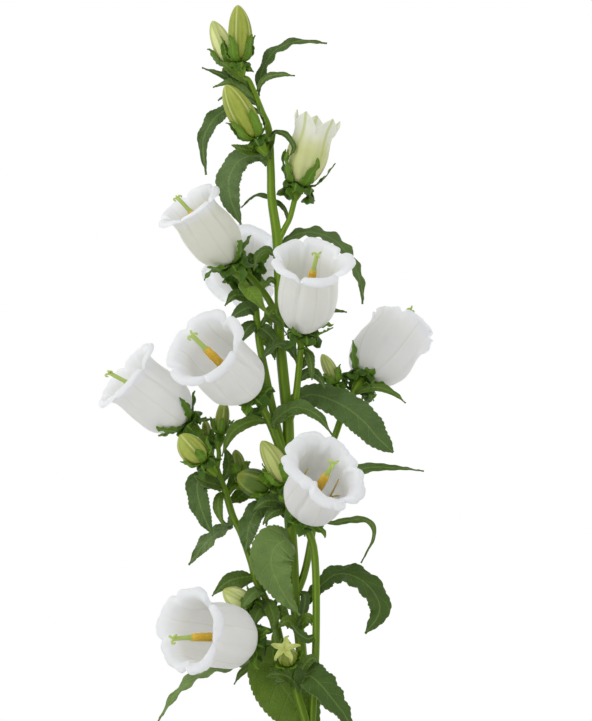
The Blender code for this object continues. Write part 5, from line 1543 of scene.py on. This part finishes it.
# %% The style's blank, with its cob of pollen
STYLE_COLUMNS = 28
# The way each style leans in its bell, in degrees round the bell's axis, and how far it has
# leant at the bell's mouth
STYLE_LEAN = {"bell_high_left": (205, 0.004), "bell_back": (0, 0.003), "bell_middle": (262, 0.0045),
              "bell_left": (145, 0.004), "bell_far_left": (190, 0.007), "bell_right": (130, 0.008),
              "bell_front": (10, 0.002), "bell_low": (220, 0.005)}
BELL_LENGTH = 0.048
# Height and radius in mm, where the pollen starts and ends, and the height of a row of points
STYLE_SIDE = ((1.0, 1.6), (3.0, 1.3), (16.0, 1.2), (22.5, 1.3), (24.5, 1.75), (27.0, 2.1),
    (34.0, 2.1), (40.5, 1.85), (42.5, 1.4), (44.5, 1.25), (51.5, 1.2), (52.9, 1.3), (53.7, 0.1))
POLLEN = (24.0, 42.8)
POLLEN_ROW = 0.6
PLAIN_ROW = 1.4

heights = [STYLE_SIDE[0][0]]
while heights[-1] < STYLE_SIDE[-1][0]:
    in_pollen = POLLEN[0] - 1 < heights[-1] < POLLEN[1]
    heights.append(heights[-1] + (POLLEN_ROW if in_pollen else PLAIN_ROW))
heights[-1] = STYLE_SIDE[-1][0]
style_rows = [(between(STYLE_SIDE, height) * MM, height * MM) for height in heights]
style_blank = turned("style_blank", style_rows, STYLE_COLUMNS)
print("style rows:", len(style_rows))

# %% Style, stigma, scales and stamens of one bell
# Radius and height in mm of a stigma's arm and of a scale, and the scale's half width
STIGMA_ARM = ((0.2, 51.9), (1.0, 53.5), (2.0, 54.1), (2.7, 53.6), (2.6, 52.8), (2.0, 52.6))
SCALE = ((7.0, 3.6), (6.6, 6.0), (5.0, 8.0), (2.6, 9.2))
SCALE_HALF = ((0, 3.0), (0.4, 3.6), (0.8, 2.4), (1, 1.0))
SCALE_WALL = 0.0004
STAMEN_RADIUS = 0.0005
# How high the withered stamens reach above the scales, in mm
STAMENS_REACH = {"bell_front": 22}
STAMENS_LOW = 8
# How far a grain of pollen stands out, and the dent beside it goes in, in mm
GRAIN_OUT = 0.26
GRAIN_IN = -0.18


def pistil(name, size, lean, chance):
    """All that stands in a bell, grown from its bottom, as one piece that leans one way."""
    style = copied(style_blank, name)
    marks = []
    for index, vertex in enumerate(style.data.vertices):
        row, column = divmod(index, STYLE_COLUMNS)
        height = vertex.co.z / MM
        dusted = step_between(POLLEN[0] - 0.5, POLLEN[0] + 0.8, height) * (
            1 - step_between(POLLEN[1] - 1.2, POLLEN[1], height))
        grain = GRAIN_OUT if (row + column) % 2 else GRAIN_IN
        grain = grain * MM * dusted * chance.uniform(0.3, 1.4)
        flat = vertex.co.to_2d()
        flat *= 1 + grain / max(flat.length, MM)
        vertex.co = (flat.x, flat.y, vertex.co.z)
        marks.append(dusted)
    kept(style, pollen=marks, dry=0.0)
    pole_closed(style, STYLE_COLUMNS, len(style_rows) - 1)
    pole_closed(style, STYLE_COLUMNS, 0)
    parts, rise = [style], STAMENS_REACH.get(name.removesuffix("_pistil"), STAMENS_LOW)
    for number in range(3):
        angle = math.tau / 3 * number + chance.uniform(-0.3, 0.3)
        arm = [Vector((*around(angle + 0.5 * i / 5, r * MM, z * MM), (0.68 - 0.06 * i) * MM))
               for i, (r, z) in enumerate(STIGMA_ARM)]
        parts.append(kept(stalk(f"{name}_arm_{number}", smooth(arm, 10)), pollen=0.0, dry=0.0))
    for number in range(LOBES):
        angle = math.tau / LOBES * (number + 0.5)
        scale = laid(sepal_blank, f"{name}_scale_{number}", SEPAL_ROWS,
                     [around(angle, r * MM, z * MM) for r, z in SCALE],
                     lambda t: MM * between(SCALE_HALF, t), around(angle, 1, 1), chance, tooth=0,
                     wave=0.0003, fold=-0.2)
        parts.append(kept(walled(scale, SCALE_WALL), pollen=0.0, dry=0.8))
        turn = chance.uniform(0.6, 1.6) * chance.choice((-1, 1))
        stamen = [Vector((*around(angle + turn * t, (5.0 + 6.5 * t) * MM, (4 + rise * t) * MM
                                  + 2.2 * MM * math.sin(8 * t)), STAMEN_RADIUS * (1.4 - 0.6 * t)))
                  for t in (0, 0.2, 0.4, 0.6, 0.8, 1)]
        parts.append(kept(stalk(f"{name}_stamen_{number}", smooth(stamen, 14)), pollen=0.75,
                          dry=0.3))
    whole = joined(parts, name)
    bend = around(math.radians(lean[0]), lean[1], 0)
    for vertex in whole.data.vertices:
        vertex.co = (vertex.co + bend * (vertex.co.z / BELL_LENGTH) ** 2) * size
    return whole


for name, (_, _, base, axis, turn, size, _) in BELLS.items():
    whole = pistil(name + "_pistil", size, STYLE_LEAN[name], random.Random(name + " pistil"))
    stood(whole, axis_frame(base, axis, turn))
    dressed(whole, [name + "_style"], pistil_tissue)

# %% [markdown]
# ## Vase
#
# The vase holds the three stems upright. It is a plain hand-thrown stoneware pot: a belly, a
# narrower neck and a rolled lip, under a speckled off-white glaze that stops short of the
# foot. A thrown pot is a turned shape, so its whole section is drawn up as one closed shell,
# with the faint rings that a potter's fingers leave.

# %% The vase's section
VASE_HEIGHT = 0.200
VASE_WALL = 0.0045
VASE_FLOOR = 0.005
INNER_CORNER = 0.002
# Height and outer radius, from the foot to the lip
VASE_OUTLINE = ((0.0, 0.036), (0.003, 0.0375), (0.045, 0.0465), (0.085, 0.049), (0.13, 0.0455),
    (0.168, 0.0365), (0.186, 0.0345), (0.1975, 0.0375))
VASE_COLUMNS = 112
VASE_ROWS = 56
RING_SPACING = 0.0075
RING_DEPTH = 0.00012
FOOT_RECESS = 0.0012
LIP_ROUND = 0.0018
# The rounding of the lip: how far inside the widest place, and how far below the top
LIP_LINE = ((0.0002, 0.0009), (0.0009, 0.0002), (0.0018, 0), (0.0028, 0.0001), (0.0038, 0.0008))
# The small ring that is closed to a pole, and where the outside starts above the foot ring
POLE = 0.0003
OUTSIDE_FROM = 0.0008


def vase_radius(height):
    """The vase's outer radius at a height, along a smooth line through its outline."""
    line = smooth([Vector(point) for point in VASE_OUTLINE], 80)
    return between([(level, radius) for level, radius in line], height)


# From the middle of the base out over the foot ring
under = [(POLE, FOOT_RECESS), (0.0285, FOOT_RECESS), (0.0295, 0.0), (0.0350, 0.0)]
outside = []
for row in range(VASE_ROWS + 1):
    level = OUTSIDE_FROM + (VASE_HEIGHT - LIP_ROUND - OUTSIDE_FROM) * row / VASE_ROWS
    ring = RING_DEPTH * math.sin(level / RING_SPACING * math.tau)
    outside.append((vase_radius(level) + ring, level))
lip = vase_radius(VASE_HEIGHT)
top = [(lip - inside, VASE_HEIGHT - below) for inside, below in LIP_LINE]
inside = [(radius - VASE_WALL, level) for radius, level in reversed(outside)
          if level > VASE_FLOOR + INNER_CORNER]
floor_inside = [(inside[-1][0] - INNER_CORNER, VASE_FLOOR), (POLE, VASE_FLOOR)]
section = under + outside + top + inside + floor_inside
vase = turned("vase_thrown", section, VASE_COLUMNS)
pole_closed(vase, VASE_COLUMNS, len(section) - 1)
pole_closed(vase, VASE_COLUMNS, 0)
print("rows of the vase's section:", len(section))

# %% Speckled glaze over stoneware
# A fired, semi-matt glaze: warm off-white, iron specks of 0.4 to 1 mm, browner where it runs
# thin over the lip, and bare sandy clay on the foot.
glaze, tree, shader, where = new_material("glazed_stoneware", 0.35, IOR=1.5, Coat_Weight=0.25,
                                          Coat_Roughness=0.25)
height = node(tree, "SeparateXYZ", {0: where}).outputs["Z"]
clouds = node(tree, "TexNoise", {"Vector": where, "Scale": 38.0, "Detail": 4.0})
specks = node(tree, "TexVoronoi", {"Vector": where, "Scale": 260.0})
sizes = node(tree, "TexNoise", {"Vector": where, "Scale": 170.0, "Detail": 1.0})
speck_edge = node(tree, "MapRange", {0: sizes, 1: 0.45, 2: 0.75, 3: 0.02, 4: 0.20})
speck = node(tree, "Math", {0: specks, 1: speck_edge}, operation="LESS_THAN")
speck_share = node(tree, "Math", {0: speck, 1: 0.75}, operation="MULTIPLY")
thin = node(tree, "MapRange", {0: height, 1: 0.1955, 2: 0.1995, 4: 0.7}, **SOFT)
edge_wave = node(tree, "Math", {0: clouds, 1: 0.006, 2: height}, operation="MULTIPLY_ADD")
glazed = node(tree, "MapRange", {0: edge_wave, 1: 0.0085, 2: 0.0092})
clay = node(tree, "Mix", {0: sizes, 6: "#a58d6d", 7: "#bda584"})
colour = node(tree, "Mix", {0: clouds, 6: "#d9d3c4", 7: "#e7e3d8"})
for share, over in ((speck_share, "#6e5238"), (thin, "#a98b64")):
    colour = node(tree, "Mix", {0: share, 6: colour, 7: over})
finished = node(tree, "Mix", {0: glazed, 6: clay, 7: colour})
gloss = node(tree, "MapRange", {0: glazed, 3: 0.85, 4: 0.36})
relief = node(tree, "Bump", {"Height": clouds, "Strength": 0.12, "Distance": 0.0008})
feed(tree, shader, {"Base Color": finished, "Roughness": gloss, "Normal": relief})
dressed(vase, ["vase"], glaze, crease_degrees=50)

# %% [markdown]
# ## Water
#
# The CAD's water already has the right shape, with a hole round each stem. It keeps its mesh
# and gets clear water's look: no colour of its own, and a surface that is never quite still.

# %% Clear water on the CAD node
tap_water, tree, shader, where = new_material("tap_water", 0.03, Base_Color="#f2f8f6", IOR=1.333,
                                              Transmission_Weight=1.0)
ripples = node(tree, "TexNoise", {"Vector": where, "Scale": 60.0, "Detail": 1.0})
relief = node(tree, "Bump", {"Height": ripples, "Strength": 0.1, "Distance": 0.001})
feed(tree, shader, {"Normal": relief})
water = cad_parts["water"]
water.data.materials.clear()
water.data.materials.append(tap_water)
print(water.name, "keeps its faces:", len(water.data.polygons))

# %% [markdown]
# ## Finishing
#
# The blanks have done their work and go. The two boxes, of the CAD and of what is shown, are
# printed side by side. The looks may not change the object's size.

# %% Blanks away, sizes kept, table printed
removed(broad_blank, sprig_blank, sepal_blank, cup_blank, bud_blank, bell_blank, style_blank)
pieces = [obj for obj in bpy.data.objects if obj.type == "MESH" and not obj.hide_render]
for piece in pieces:
    piece.data.calc_loop_triangles()
print("triangles in all:", sum(len(piece.data.loop_triangles) for piece in pieces))
visual_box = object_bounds()
sizes = {"cad": [list(corner) for corner in cad_box], "visual": [list(corner) for corner in visual_box]}
print(sizes)
